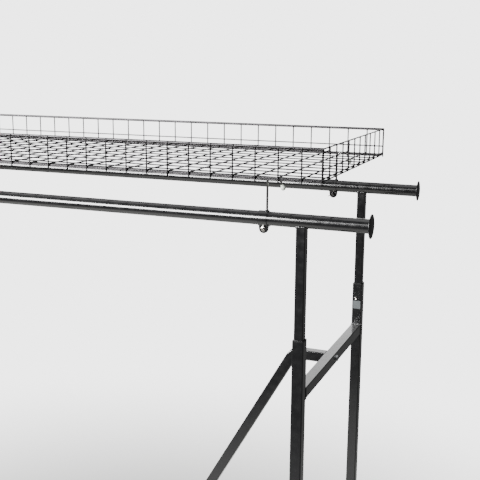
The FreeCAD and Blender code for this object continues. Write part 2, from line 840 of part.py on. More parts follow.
def brake_lever(name, end, side):
    """A foot pedal on a cross pin between the cheeks, with a pad that turns down on to the tyre."""
    body = new_body("brake_lever", x=f"{post_x(end)} - caster_trail - brake_pivot_back", y=caster_y(side),
                    z=f"caster_height + {CROWN_TOP} - brake_pivot_drop")
    rounds = (("brake_hub_dia", "fork_gap - 2 * side_clearance"), ("brake_pivot_dia", FORK_WIDE))
    for diameter, width in rounds:
        pin = new_sketch(body, "XZ_Plane")
        circle(pin, diameter)
        pad(body, pin, width, side="Symmetric")
    inner = "brake_pedal_long - brake_reach"
    plates = [
        ("-brake_reach", "0", "-brake_thick", "0", "fork_gap / 2"),
        ("-brake_reach", inner, "-brake_thick", "0", "brake_pedal_wide"),
        ("-brake_pad_reach * 1.5", "-brake_pad_reach / 2", "-brake_pad_drop", "0",
         "wheel_width - 2 * tyre_crown"),
    ]
    for left, right, low, high, width in plates:
        plate = new_sketch(body, "XZ_Plane")
        outline(plate, [(left, low), (right, low), (right, high), (left, high)])
        pad(body, plate, width, side="Symmetric")
    node(body, f"brake_lever_{name}")


stems = [caster_stem(end, side) for _, end, side in CORNERS]
stem_nuts = [nut("stem_dia", x=post_x(end), y=caster_y(side), z=BAR_TOP) for _, end, side in CORNERS]
group("caster_stems", stems + stem_nuts)
for name, end, side in CORNERS:
    caster_fork(name, end, side)
    caster_wheel(name, end, side)
    caster_tyre(name, end, side)
    caster_axle(name, end, side)
    if name in BRAKED:
        brake_lever(name, end, side)


# Uprights and rails: four square tubes that slide in the outer posts, each pair welded under a round rail.

def hang_rail(name, side):
    length = "post_span + 2 * rail_overhang"
    body = new_body("hang_rail", x=f"-({length}) / 2", y=rail_y(side), z=RAIL_AXIS, turn="+X")
    section = new_sketch(body, "XY_Plane")
    circle(section, "rail_dia")
    circle(section, "rail_dia - 2 * rail_wall")
    pad(body, section, length)
    node(body, f"hang_rail_{name}")


def rail_cap(end, side):
    """A domed disc with a hollow plug that pushes into the end of a rail."""
    body = new_body("rail_cap", x=f"{end} * (post_span / 2 + rail_overhang)", y=rail_y(side), z=RAIL_AXIS,
                    turn="+X" if end > 0 else "-X")
    plug = "(rail_dia / 2 - rail_wall - push_clearance)"
    half = new_sketch(body, "XZ_Plane")
    outline(half, [
        ("0", "0"),
        (f"{plug} - plug_wall", "0"),
        (f"{plug} - plug_wall", "-plug_depth"),
        (plug, "-plug_depth"),
        (plug, "0"),
        ("cap_dia / 2", "0"),
        ("cap_dia / 2", "cap_rim", dome("cap_dia / 2", "cap_dome")),
        ("0", "cap_rim + cap_dome"),
    ])
    disc = revolve(body, half, "V_Axis")
    rim = number("cap_rim")
    round_edges(body, disc, "cap_edge", lambda edge: abs(edge.BoundBox.ZMin - rim) < 0.01
                and abs(edge.BoundBox.ZMax - rim) < 0.01)
    return body


def upright(name, end, side):
    """A square tube with its top coped to sit under the rail."""
    blank = tube("upright_tube", "upright_side", "upright_side", "tube_wall", "tube_corner",
                 f"{RAIL_AXIS} - ({UPRIGHT_FOOT})", x=post_x(end), y=rail_y(side), z=UPRIGHT_FOOT)
    cope = cylinder("rail_dia + 2 * weld_gap", "2 * upright_side", x=f"{post_x(end)} - upright_side",
                    y=rail_y(side), z=RAIL_AXIS, turn="+X")
    node(cut(blank, cope), f"upright_{name}")


def foot_guide(end, side):
    """A plastic plug in the foot of an upright that runs on the inside of the outer post."""
    body = new_body("foot_guide", x=post_x(end), y=rail_y(side), z=UPRIGHT_FOOT)
    shoe = new_sketch(body, "XY_Plane", "-guide_lip")
    outside = "post_side - 2 * tube_wall - 2 * guide_clearance"
    rounded_rectangle(shoe, outside, outside, "tube_corner - tube_wall")
    pad(body, shoe, "guide_lip")
    plug = new_sketch(body, "XY_Plane")
    inside = "upright_side - 2 * tube_wall - 2 * push_clearance"
    rounded_rectangle(plug, inside, inside, "tube_corner - tube_wall")
    pad(body, plug, "end_plug_depth")
    return body


for name, side in SIDES.items():
    hang_rail(name, side)
group("rail_caps", [rail_cap(end, side) for _, end, side in CORNERS])
for name, end, side in CORNERS:
    upright(name, end, side)
group("upright_guides", [foot_guide(end, side) for _, end, side in CORNERS])


# Basket supports: a strap clamp round the rail, drawn up by a bolt and wing nut, carries a bent rod
# whose level top passes under a floor wire and whose tail ends in a ball.
EAR_WIDE = "ear_gap + 2 * strap_thick"
EAR_AXIS = f"{RAIL_AXIS} - ear_drop"
FLOOR_WIRE = f"{RAIL_AXIS} + basket_rise + 2 * (wire_side - weld_sink)"


def support_x(end, side):
    inset = "front_support_inset" if side < 0 else "rear_support_inset"
    return f"{end} * (post_span / 2 - {inset})"


def strap_clamp(end, side):
    x = support_x(end, side)
    y = rail_y(side)
    start = f"{x} - strap_wide / 2"
    bore = "rail_dia + 2 * weld_gap"
    solid = fused(
        cylinder(f"{bore} + 2 * strap_thick", "strap_wide", x=start, y=y, z=RAIL_AXIS, turn="+X"),
        cylinder("ear_dia", EAR_WIDE, x=x, y=f"{y} - ({EAR_WIDE}) / 2", z=EAR_AXIS, turn="+Y"),
        block("ear_dia", EAR_WIDE, "ear_drop", x=x, y=y, z=EAR_AXIS),
    )
    return cut(
        solid,
        cylinder(bore, "2 * strap_wide", x=f"{x} - strap_wide", y=y, z=RAIL_AXIS, turn="+X"),
        block("2 * strap_wide", "ear_gap", "ear_drop + ear_dia", x=x, y=y, z=f"{EAR_AXIS} - ear_dia"),
        cylinder("strap_bolt_dia + 2 * bolt_clearance", f"2 * ({EAR_WIDE})", x=x, y=f"{y} - ({EAR_WIDE})",
                 z=EAR_AXIS, turn="+Y"),
    )


def inward(side):
    """The turn that points an axis from one rail towards the other."""
    return "+Y" if side < 0 else "-Y"


def strap_bolt(end, side):
    """A pan-head screw from outside the rack through both ears and the wing nut."""
    body = new_body("strap_bolt", x=support_x(end, side), y=f"{rail_y(side)} + {side} * ({EAR_WIDE}) / 2",
                    z=EAR_AXIS, turn=inward(side))
    half = new_sketch(body, "XZ_Plane")
    tip = f"{EAR_WIDE} + wing_hub_tall + bolt_proud"
    outline(half, [
        ("0", "-pan_head_tall", dome("pan_head_dia / 2", "pan_head_tall * 3 / 4")),
        ("pan_head_dia / 2", "-pan_head_tall / 4"),
        ("pan_head_dia / 2", "0"),
        ("strap_bolt_dia / 2", "0"),
        ("strap_bolt_dia / 2", tip),
        ("0", tip),
    ])
    revolve(body, half, "V_Axis")
    return body


def wing_nut(end, side):
    x = support_x(end, side)
    face = f"{rail_y(side)} - {side} * ({EAR_WIDE}) / 2"
    hub = cylinder("wing_hub_dia", "wing_hub_tall", x=x, y=face, z=EAR_AXIS, turn=inward(side))
    middle = f"{face} - {side} * wing_hub_tall / 2"
    pieces = [hub, block("wing_span - wing_tall", "wing_thick", "wing_tall", x=x, y=middle,
                         z=f"{EAR_AXIS} - wing_tall / 2")]
    for way in (-1, 1):
        pieces.append(cylinder("wing_tall", "wing_thick", x=f"{x} + {way} * (wing_span - wing_tall) / 2",
                               y=f"{middle} - wing_thick / 2", z=EAR_AXIS, turn="+Y"))
    bore = cylinder("strap_bolt_dia + 2 * push_clearance", "2 * wing_hub_tall", x=x, y=face, z=EAR_AXIS,
                    turn=inward(side))
    return cut(fused(*pieces), bore)


def hook_points(end, side):
    """The rod's corners: clamp top, under the floor, over to the tail, and the middle of the ball."""
    x = f"{support_x(end, side)} + {end} * rod_offset"
    y = rail_y(side)
    bridge = f"{FLOOR_WIRE} - wire_side / 2 - rod_dia / 2 - weld_gap"
    tail_top = f"{x} + {end} * hook_bridge"
    return [
        (x, y, f"{RAIL_AXIS} + rail_dia / 2 + strap_thick + 2 * weld_gap"),
        (x, y, bridge),
        (tail_top, y, bridge),
        (f"{tail_top} + {end} * hook_tail_out", y, f"{bridge} - hook_tail_drop"),
    ]


def basket_hook(end, side):
    points = hook_points(end, side)
    path = path_object(points, "hook_bend")
    section = place(doc.addObject("Sketcher::SketchObject", "rod_section"), *points[0])
    circle(section, "rod_dia")
    return swept(path, section)


def hook_ball(end, side):
    """A moulded ball, bored to its middle for the rod."""
    points = [FreeCAD.Vector(*map(number, point)) for point in hook_points(end, side)]
    ball = doc.addObject("Part::Sphere", "ball")
    bind(ball, Radius="ball_dia / 2")
    place(ball, *hook_points(end, side)[-1])
    bore = cylinder("rod_dia + 2 * push_clearance", "ball_dia")
    place(bore, *hook_points(end, side)[-1])
    bore.Placement.Rotation = FreeCAD.Rotation(FreeCAD.Vector(0, 0, 1), points[-2] - points[-1])
    return cut(ball, bore)


group("rail_clamps", [strap_clamp(end, side) for _, end, side in CORNERS])
group("clamp_bolts", [strap_bolt(end, side) for _, end, side in CORNERS])
group("wing_nuts", [wing_nut(end, side) for _, end, side in CORNERS])
group("basket_hooks", [basket_hook(end, side) for _, end, side in CORNERS])
group("hook_balls", [hook_ball(end, side) for _, end, side in CORNERS])


# Basket: a floor mesh and four wall panels of welded wire. Each round wire is drawn as a square bar
# with the same area of steel: 2.84 mm for the 3.2 mm wires, and 5.63 mm for the 6.35 mm rims.
wire = number("wire_side")
rim = number("rim_side")
pitch = number("grid_pitch")
gap = number("panel_gap")
half_length = number("basket_length / 2")
half_depth = number("basket_depth / 2")
bottom = number(f"{RAIL_AXIS} + basket_rise")
top = bottom + number("wall_height")
layer = number("wire_side - weld_sink")
floor_length = half_length - wire - gap
floor_depth = half_depth - wire / 2 - gap
end_depth = half_depth - rim / 2 - gap


def grid(low, high):
    """Wire places from one edge at the mesh pitch, with a last wire at the other edge."""
    count = int((high - low - wire) // pitch)
    return [low + wire / 2] + [low + pitch * step for step in range(1, count + 1)] + [high - wire / 2]


def bar(low, high, wide):
    """A square bar between two points on its axis, along X, Y or Z."""
    half = [0 if high[axis] > low[axis] else wide / 2 for axis in range(3)]
    size = [high[axis] - low[axis] + 2 * half[axis] for axis in range(3)]
    return Part.makeBox(*size, FreeCAD.Vector(*[low[axis] - half[axis] for axis in range(3)]))


def wire_panel(label, bars):
    """A panel of bars welded where they cross."""
    panel = doc.addObject("Part::Feature", label)
    panel.Shape = bars[0].multiFuse(bars[1:])
    node(panel, label)


def long_wall(name, side):
    y = side * half_depth
    bars = [
        bar((-half_length, y, height), (half_length, y, height), wide)
        for height, wide in ((bottom, wire), (bottom + number("mid_wire_height"), wire), (top, rim))
    ]
    for x in grid(-half_length, half_length):
        bars.append(bar((x, y, bottom - number("wire_tail")), (x, y, top), wire))
    wire_panel(f"basket_wall_{name}", bars)


def end_wall(name, end):
    x = end * (half_length - wire / 2)
    bars = [bar((x, -end_depth, height), (x, end_depth, height), wire) for height in (bottom, top)]
    for y in grid(-end_depth, end_depth):
        bars.append(bar((x, y, bottom), (x, y, top), wire))
    wire_panel(f"basket_wall_{name}", bars)


def basket_floor():
    """Long wires in line with the end walls' wires, with cross wires laid over them."""
    lower = bottom + layer
    upper = lower + layer
    rows = grid(-end_depth, end_depth)
    bars = [bar((-floor_length, y, lower), (floor_length, y, lower), wire) for y in rows]
    edge = floor_length - wire / 2
    for x in [-edge] + grid(-half_length, half_length)[1:-1] + [edge]:
        bars.append(bar((x, -floor_depth, upper), (x, floor_depth, upper), wire))
    wire_panel("basket_floor", bars)


for name, side in SIDES.items():
    long_wall(name, side)
for name, end in ENDS.items():
    end_wall(name, end)
basket_floor()


# Check every object, then write each sub-part.
doc.recompute()
for thing in doc.Objects:
    if {"Invalid", "Error"} & set(thing.State):
        raise RuntimeError(f"{thing.Name} ({thing.Label}) failed: {thing.State}")
for part in nodes:
    if part.Shape.isNull() or not part.Shape.isValid():
        raise RuntimeError(f"{part.Label} has no valid shape")
os.makedirs("parts", exist_ok=True)
for part in nodes:
    part.Shape.exportStep(f"parts/{part.Label}.step")
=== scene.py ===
import math

import bmesh
import bpy
from mathutils import Matrix, Vector


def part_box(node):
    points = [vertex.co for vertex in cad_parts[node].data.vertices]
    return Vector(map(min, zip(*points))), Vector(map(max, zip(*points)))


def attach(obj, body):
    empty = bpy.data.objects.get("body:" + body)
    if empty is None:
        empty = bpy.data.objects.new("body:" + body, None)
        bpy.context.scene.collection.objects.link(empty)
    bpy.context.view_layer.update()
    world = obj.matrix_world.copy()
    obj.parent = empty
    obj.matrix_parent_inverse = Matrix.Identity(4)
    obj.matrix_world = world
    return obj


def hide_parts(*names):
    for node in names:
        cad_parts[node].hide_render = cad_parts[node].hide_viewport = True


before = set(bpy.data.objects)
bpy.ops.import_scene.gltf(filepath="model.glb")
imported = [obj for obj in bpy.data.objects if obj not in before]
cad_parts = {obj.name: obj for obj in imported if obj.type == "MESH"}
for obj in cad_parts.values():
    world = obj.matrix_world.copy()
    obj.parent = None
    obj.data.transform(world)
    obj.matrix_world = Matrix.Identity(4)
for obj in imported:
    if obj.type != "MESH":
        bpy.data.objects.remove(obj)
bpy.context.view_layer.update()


# The studio: a plain white surround, a big soft window to the front left, a thin strip above the
# front, a dim panel overhead and a sweep behind the left end. The camera stands above the rack's
# front right corner, and the pale floor fades out round the casters.
def add(tree, kind, inputs=None, **settings):
    """Adds a node with its settings, and fills its sockets with values or links."""
    made = tree.nodes.new(kind)
    for name, value in settings.items():
        setattr(made, name, value)
    for name, value in (inputs or {}).items():
        if isinstance(value, bpy.types.NodeSocket):
            tree.links.new(value, made.inputs[name])
        else:
            made.inputs[name].default_value = value
    return made


def linear(code):
    """An sRGB hex value as a linear colour."""
    parts = [int(code[place:place + 2], 16) / 255 for place in (1, 3, 5)]
    return (*[part / 12.92 if part <= 0.04045 else ((part + 0.055) / 1.055) ** 2.4 for part in parts], 1)


def millimetres(size):
    """A noise scale whose blotches are about this many millimetres across."""
    return 1000 / size


def show(name, data):
    made = bpy.data.objects.new(name, data)
    bpy.context.scene.collection.objects.link(made)
    return made


def softbox(name, place, aim, wide, tall, watts):
    light = bpy.data.lights.new(name, "AREA")
    light.shape = "RECTANGLE"
    light.size = wide
    light.size_y = tall
    light.energy = watts
    lamp = show(name, light)
    lamp.location = place
    lamp.rotation_mode = "QUATERNION"
    lamp.rotation_quaternion = (Vector(aim) - Vector(place)).to_track_quat("-Z", "Y")
    lamp.visible_camera = False
    return lamp


CAMERA_PLACE = (1.289, -1.930, 1.933)
CAMERA_YAW = 0.3794
CAMERA_PITCH = 0.2110
CAMERA_ROLL = 0.0073
CAMERA_LENS = 63.96

camera_data = bpy.data.cameras.new("camera")
camera_data.lens = CAMERA_LENS
camera_data.sensor_width = 36
camera_data.clip_end = 200
camera = show("camera", camera_data)
camera.matrix_world = (
    Matrix.Translation(CAMERA_PLACE)
    @ Matrix.Rotation(CAMERA_YAW, 4, "Z")
    @ Matrix.Rotation(math.pi / 2 - CAMERA_PITCH, 4, "X")
    @ Matrix.Rotation(CAMERA_ROLL, 4, "Z")
)
bpy.context.scene.camera = camera

softbox("front_window", (-4.0, -4.5, 3.3), (-0.2, 0, 1.5), 6.4, 2.4, 2600)
softbox("front_strip", (1.6, -4.2, 4.1), (0.6, 0, 1.5), 5.0, 0.35, 40)
softbox("overhead", (0, 0.6, 5.0), (0, 0.4, 0), 6, 3.5, 60)
softbox("rear_sweep", (-1.3, 5.5, 2.95), (-0.6, 0, 1.5), 3.6, 2.9, 56)

ROOM_GLOW = 0.12
WHITE_GLOW = 3.8
world = bpy.data.worlds.new("studio")
world.use_nodes = True
bpy.context.scene.world = world
sky = world.node_tree
ray = add(sky, "ShaderNodeLightPath")
background = sky.nodes["Background"]
seen = add(sky, "ShaderNodeMix", {"Factor": ray.outputs["Is Camera Ray"], "A": ROOM_GLOW, "B": WHITE_GLOW})
background.inputs["Color"].default_value = linear("#ffffff")
sky.links.new(seen.outputs["Result"], background.inputs["Strength"])

FLOOR_REACH = 3
FLOOR_FULL = 0.7
FLOOR_GONE = 2.9
ground = bmesh.new()
bmesh.ops.create_grid(ground, x_segments=1, y_segments=1, size=FLOOR_REACH)
floor_mesh = bpy.data.meshes.new("floor")
ground.to_mesh(floor_mesh)
floor = show("floor", floor_mesh)
floor_paint = bpy.data.materials.new("matt_studio_floor")
floor_paint.use_nodes = True
floor_tree = floor_paint.node_tree
floor_surface = floor_tree.nodes["Principled BSDF"]
floor_surface.inputs["Base Color"].default_value = linear("#9e9e9c")
floor_surface.inputs["Roughness"].default_value = 0.95
floor_surface.inputs["Specular IOR Level"].default_value = 0.1
floor_place = add(floor_tree, "ShaderNodeTexCoord").outputs["Object"]
floor_away = add(floor_tree, "ShaderNodeVectorMath", {0: floor_place}, operation="LENGTH")
floor_fade = add(floor_tree, "ShaderNodeMapRange", {
    "Value": floor_away.outputs["Value"], "From Min": FLOOR_FULL, "From Max": FLOOR_GONE},
    interpolation_type="SMOOTHSTEP")
floor_clear = add(floor_tree, "ShaderNodeBsdfTransparent")
floor_mixed = add(floor_tree, "ShaderNodeMixShader", {
    0: floor_fade.outputs["Result"], 1: floor_surface.outputs["BSDF"], 2: floor_clear.outputs["BSDF"]})
floor_tree.links.new(floor_mixed.outputs["Shader"], floor_tree.nodes["Material Output"].inputs["Surface"])
floor_mesh.materials.append(floor_paint)


# Hanging rails: two round steel tubes, drawn to 30 mm and painted with black baked enamel. Each lies
# on its uprights and is open at both ends, where the caps' plugs go in.
def solids(node):
    """The low and high corners of each separate solid of a CAD node, from left to right and front to rear."""
    shell = bmesh.new()
    shell.from_mesh(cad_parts[node].data)
    bmesh.ops.remove_doubles(shell, verts=shell.verts, dist=1e-6)
    waiting = set(shell.verts)
    boxes = []
    while waiting:
        reached = [waiting.pop()]
        points = []
        while reached:
            vertex = reached.pop()
            points.append(vertex.co.copy())
            for edge in vertex.link_edges:
                other = edge.other_vert(vertex)
                if other in waiting:
                    waiting.remove(other)
                    reached.append(other)
        low = Vector([min(point[axis] for point in points) for axis in range(3)])
        high = Vector([max(point[axis] for point in points) for axis in range(3)])
        boxes.append((low, high))
    return sorted(boxes, key=lambda box: (round(box[0].x + box[1].x, 3), round(box[0].y + box[1].y, 3)))


def round_ring(radius, height, count=64):
    angles = [2 * math.pi * index / count for index in range(count)]
    return [Vector((radius * math.cos(angle), radius * math.sin(angle), height)) for angle in angles]


def square_ring(wide, deep, corner, height, steps=6):
    """A rounded rectangle, anticlockwise from its right side."""
    ring = []
    for turn, (across, along) in enumerate(((1, 1), (-1, 1), (-1, -1), (1, -1))):
        middle = Vector((across * (wide / 2 - corner), along * (deep / 2 - corner), height))
        for step in range(steps + 1):
            angle = math.pi / 2 * (turn + step / steps)
            ring.append(middle + corner * Vector((math.cos(angle), math.sin(angle), 0)))
    return ring


def skin(shell, rings, origin=(0, 0, 0), axis=(0, 0, 1), closed=False):
    """Faces through rings that match point for point, turned so that they stack along axis from origin.
    A closed stack joins its last ring to its first, and any other is filled at both ends."""
    axis = Vector(axis)
    turned = Matrix.Identity(3) if axis.z == 1 else axis.to_track_quat("Z", "Y").to_matrix()
    if axis.z == -1:
        turned = Matrix.Rotation(math.pi, 3, "X")
    rows = [[shell.verts.new(Vector(origin) + turned @ point) for point in ring] for ring in rings]
    count = len(rows[0])
    pairs = list(zip(rows, rows[1:]))
    if closed:
        pairs.append((rows[-1], rows[0]))
    else:
        shell.faces.new(reversed(rows[0]))
        shell.faces.new(rows[-1])
    for lower, upper in pairs:
        for index in range(count):
            after = (index + 1) % count
            shell.faces.new((lower[index], lower[after], upper[after], upper[index]))


def finished(name, shell, material, body, slot, *stands_for, sharp=35, bevel=0):
    """Turns a shell into a smooth piece that rides on a body and stands for its CAD nodes."""
    bmesh.ops.remove_doubles(shell, verts=shell.verts, dist=1e-7)
    bmesh.ops.recalc_face_normals(shell, faces=shell.faces)
    mesh = bpy.data.meshes.new(name)
    shell.to_mesh(mesh)
    mesh.shade_smooth()
    mesh.set_sharp_from_angle(angle=math.radians(sharp))
    mesh.materials.append(material)
    made = show(name, mesh)
    if bevel:
        rounding = made.modifiers.new("rounding", "BEVEL")
        rounding.width = bevel
        rounding.segments = 3
        rounding.limit_method = "ANGLE"
        rounding.angle_limit = math.radians(sharp)
        rounding.harden_normals = False
    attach(made, body)
    if stands_for:
        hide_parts(*stands_for)
    return made


def black_enamel(name, rub=False):
    """Baked enamel over steel: a deep black with a hard clear gloss, a faint orange peel and the slow
    waves of a drawn tube. The peel is really under a millimetre and is drawn coarser so that it shows."""
    paint = bpy.data.materials.new(name)
    paint.use_nodes = True
    tree = paint.node_tree
    surface = tree.nodes["Principled BSDF"]
    surface.inputs["Base Color"].default_value = linear("#0b0b0c")
    surface.inputs["IOR"].default_value = 1.5
    surface.inputs["Coat Weight"].default_value = 0.8
    surface.inputs["Coat Roughness"].default_value = 0.05
    place = add(tree, "ShaderNodeTexCoord").outputs["Object"]
    peel = add(tree, "ShaderNodeTexNoise", {"Vector": place, "Scale": millimetres(2.5), "Detail": 2.0})
    wave = add(tree, "ShaderNodeTexNoise", {"Vector": place, "Scale": millimetres(70), "Detail": 1.0})
    peel_bump = add(tree, "ShaderNodeBump", {
        "Height": peel.outputs["Fac"], "Strength": 0.12, "Distance": 0.0002})
    wave_bump = add(tree, "ShaderNodeBump", {
        "Height": wave.outputs["Fac"], "Strength": 0.25, "Distance": 0.0012,
        "Normal": peel_bump.outputs["Normal"]})
    for socket in ("Normal", "Coat Normal"):
        tree.links.new(wave_bump.outputs["Normal"], surface.inputs[socket])
    haze = add(tree, "ShaderNodeTexNoise", {"Vector": place, "Scale": millimetres(18), "Detail": 4.0})
    gloss = add(tree, "ShaderNodeMapRange", {"Value": haze.outputs["Fac"], "From Min": 0.35, "From Max": 0.75,
                                             "To Min": 0.16, "To Max": 0.30})
    rough = gloss.outputs["Result"]
    if rub:
        squeezed = add(tree, "ShaderNodeMapping", {"Vector": place, "Scale": (millimetres(0.9), 6, 6)})
        lines = add(tree, "ShaderNodeTexNoise", {
            "Vector": squeezed.outputs["Vector"], "Scale": 1.0, "Detail": 1.0})
        hooked = add(tree, "ShaderNodeMapRange", {
            "Value": lines.outputs["Fac"], "From Min": 0.66, "From Max": 0.74, "To Min": 0.0, "To Max": 0.22})
        both = add(tree, "ShaderNodeMath", {0: rough, 1: hooked.outputs["Result"]}, operation="ADD")
        rough = both.outputs[0]
    tree.links.new(rough, surface.inputs["Roughness"])
    return paint


tube_enamel = black_enamel("black_baked_enamel")
rail_enamel = black_enamel("hook_rubbed_black_enamel", rub=True)

RAIL_WALL = 0.0015
RAIL_LIP = 0.0003
rails = {}
for side in ("front", "rear"):
    low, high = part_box(f"hang_rail_{side}")
    middle = (low + high) / 2
    radius = (high.z - low.z) / 2
    length = high.x - low.x
    rails[side] = Vector((high.x, middle.y, middle.z))
    bore = radius - RAIL_WALL
    rings = [
        round_ring(radius, RAIL_LIP, 96),
        round_ring(radius, length - RAIL_LIP, 96),
        round_ring(radius - RAIL_LIP, length, 96),
        round_ring(bore, length, 96),
        round_ring(bore, 0, 96),
        round_ring(radius - RAIL_LIP, 0, 96),
    ]
    tube = bmesh.new()
    skin(tube, rings, origin=(low.x, middle.y, middle.z), axis=(1, 0, 0), closed=True)
    finished(f"rail_{side}", tube, rail_enamel, "sliding_rack", "black_paint", f"hang_rail_{side}")
rail_radius = radius


# Rail caps: moulded black nylon discs, slightly domed, with a hollow plug that pushes into the rail.
# They stop the hangers from sliding off the ends.
def moulded_plastic(name, code, roughness, grain):
    """Injection-moulded plastic: an even colour, a soft shine and the fine grain of the mould."""
    plastic = bpy.data.materials.new(name)
    plastic.use_nodes = True
    tree = plastic.node_tree
    surface = tree.nodes["Principled BSDF"]
    place = add(tree, "ShaderNodeTexCoord").outputs["Object"]
    spark = add(tree, "ShaderNodeTexNoise", {"Vector": place, "Scale": millimetres(grain), "Detail": 3.0})
    bump = add(tree, "ShaderNodeBump", {"Height": spark.outputs["Fac"], "Strength": 0.25, "Distance": 0.0002})
    flow = add(tree, "ShaderNodeTexNoise", {"Vector": place, "Scale": millimetres(14), "Detail": 2.0})
    dark = [part * 0.8 for part in linear(code)[:3]]
    blend = tree.nodes.new("ShaderNodeMixRGB")
    blend.inputs["Color1"].default_value = (*dark, 1)
    blend.inputs["Color2"].default_value = linear(code)
    tree.links.new(flow.outputs["Fac"], blend.inputs["Fac"])
    tree.links.new(blend.outputs["Color"], surface.inputs["Base Color"])
    shine = add(tree, "ShaderNodeMapRange", {"Value": flow.outputs["Fac"], "To Min": roughness - 0.06,
                                             "To Max": roughness + 0.06})
    tree.links.new(shine.outputs["Result"], surface.inputs["Roughness"])
    tree.links.new(bump.outputs["Normal"], surface.inputs["Normal"])
    surface.inputs["IOR"].default_value = 1.53
    return plastic


black_nylon = moulded_plastic("moulded_black_nylon", "#101011", 0.32, 1.2)

CAP_RIM = 0.0012
CAP_EDGE = 0.0004
PLUG_DEEP = 0.020
caps = bmesh.new()
for low, high in solids("rail_caps"):
    middle = (low + high) / 2
    outward = 1 if middle.x > 0 else -1
    radius = (high.z - low.z) / 2
    face = rails["front"].x * outward
    rise = abs((high.x if outward > 0 else low.x) - face) - CAP_RIM
    plug = rail_radius - RAIL_WALL - 0.0001
    profile = [
        (plug - 0.002, 0.0), (plug - 0.002, -PLUG_DEEP), (plug - 0.0005, -PLUG_DEEP),
        (plug, 0.0005 - PLUG_DEEP), (plug, 0.0),
    ]
    profile += [(radius - CAP_EDGE, 0.0), (radius - 0.3 * CAP_EDGE, 0.3 * CAP_EDGE), (radius, CAP_EDGE)]
    profile += [(radius, CAP_RIM - CAP_EDGE), (radius - 0.3 * CAP_EDGE, CAP_RIM - 0.3 * CAP_EDGE)]
    for step in range(1, 11):
        away = (radius - CAP_EDGE) * math.cos(math.pi / 2 * step / 11)
        profile.append((away, CAP_RIM + rise * (1 - (away / radius) ** 2)))
    rings = [round_ring(away, height, 96) for away, height in profile]
    skin(caps, rings, origin=(face, middle.y, middle.z), axis=(outward, 0, 0))
finished("rail_end_caps", caps, black_nylon, "sliding_rack", "black_plastic", "rail_caps", sharp=25)


# Square tubes: the outer posts, the uprights that slide in them, the cross bars and the base are
# welded from cold-formed square and rectangular tube, with the same black enamel as the rails.
CORNERS = ("front_left", "front_right", "rear_left", "rear_right")
TUBES = ["end_bar_left", "end_bar_right", "base_sockets", "base_long_bar"]
TUBES += ["cross_bar_left", "cross_bar_right"]
TUBES += [f"outer_post_{corner}" for corner in CORNERS] + [f"upright_{corner}" for corner in CORNERS]


def paint_node(node, material):
    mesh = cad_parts[node].data
    mesh.materials.clear()
    mesh.materials.append(material)


for node in TUBES:
    paint_node(node, tube_enamel)


# Tube guides: black nylon liners with a thin lip on the mouths of the outer posts, and a shoe on the
# foot of each upright, so that the uprights slide without scraping the paint.
GUIDE_LIP = 0.003
GUIDE_BORE = 0.0216
SHOE_PLUG = 0.0178
liners = bmesh.new()
for low, high in solids("post_guides"):
    middle = (low + high) / 2
    wide = high.x - low.x
    lining = wide - 0.003
    height = high.z - low.z
    rings = [
        square_ring(lining, lining, 0.0007, 0),
        square_ring(lining, lining, 0.0007, height - GUIDE_LIP),
        square_ring(wide, wide, 0.0022, height - GUIDE_LIP),
        square_ring(wide, wide, 0.0022, height - 0.0006),
        square_ring(wide - 0.0012, wide - 0.0012, 0.0018, height),
        square_ring(GUIDE_BORE + 0.0008, GUIDE_BORE + 0.0008, 0.0022, height),
        square_ring(GUIDE_BORE, GUIDE_BORE, 0.0022, height - 0.0006),
        square_ring(GUIDE_BORE, GUIDE_BORE, 0.0022, 0),
    ]
    skin(liners, rings, origin=(middle.x, middle.y, low.z), closed=True)
finished("post_mouth_guides", liners, black_nylon, "base_frame", "black_plastic", "post_guides")

shoes = bmesh.new()
for low, high in solids("upright_guides"):
    middle = (low + high) / 2
    wide = high.x - low.x
    rings = [
        square_ring(wide - 0.001, wide - 0.001, 0.0007, 0),
        square_ring(wide, wide, 0.0007, 0.0005),
        square_ring(wide, wide, 0.0007, GUIDE_LIP),
        square_ring(SHOE_PLUG, SHOE_PLUG, 0.0007, GUIDE_LIP),
        square_ring(SHOE_PLUG, SHOE_PLUG, 0.0007, high.z - low.z),
    ]
    skin(shoes, rings, origin=(middle.x, middle.y, low.z))
finished("upright_foot_guides", shoes, black_nylon, "sliding_rack", "black_plastic", "upright_guides")


# Height screws: domed socket screws, one through each outer post near its mouth. Each bears on the
# upright inside and holds the rails at their height.
def plated_steel(name, code, low_gloss, high_gloss, cloud):
    """Plated steel: a metal that mirrors the room, a little cloudy from the bath and from handling."""
    plate = bpy.data.materials.new(name)
    plate.use_nodes = True
    tree = plate.node_tree
    surface = tree.nodes["Principled BSDF"]
    surface.inputs["Metallic"].default_value = 1.0
    place = add(tree, "ShaderNodeTexCoord").outputs["Object"]
    mist = add(tree, "ShaderNodeTexNoise", {"Vector": place, "Scale": millimetres(cloud), "Detail": 4.0})
    blend = tree.nodes.new("ShaderNodeMixRGB")
    blend.inputs["Color1"].default_value = (*[part * 0.78 for part in linear(code)[:3]], 1)
    blend.inputs["Color2"].default_value = linear(code)
    tree.links.new(mist.outputs["Fac"], blend.inputs["Fac"])
    tree.links.new(blend.outputs["Color"], surface.inputs["Base Color"])
    shine = add(tree, "ShaderNodeMapRange", {"Value": mist.outputs["Fac"], "From Min": 0.3, "From Max": 0.7,
                                             "To Min": low_gloss, "To Max": high_gloss})
    tree.links.new(shine.outputs["Result"], surface.inputs["Roughness"])
    grain = add(tree, "ShaderNodeTexNoise", {"Vector": place, "Scale": millimetres(0.8), "Detail": 2.0})
    bump = add(tree, "ShaderNodeBump", {"Height": grain.outputs["Fac"], "Strength": 0.08, "Distance": 0.0001})
    tree.links.new(bump.outputs["Normal"], surface.inputs["Normal"])
    return plate


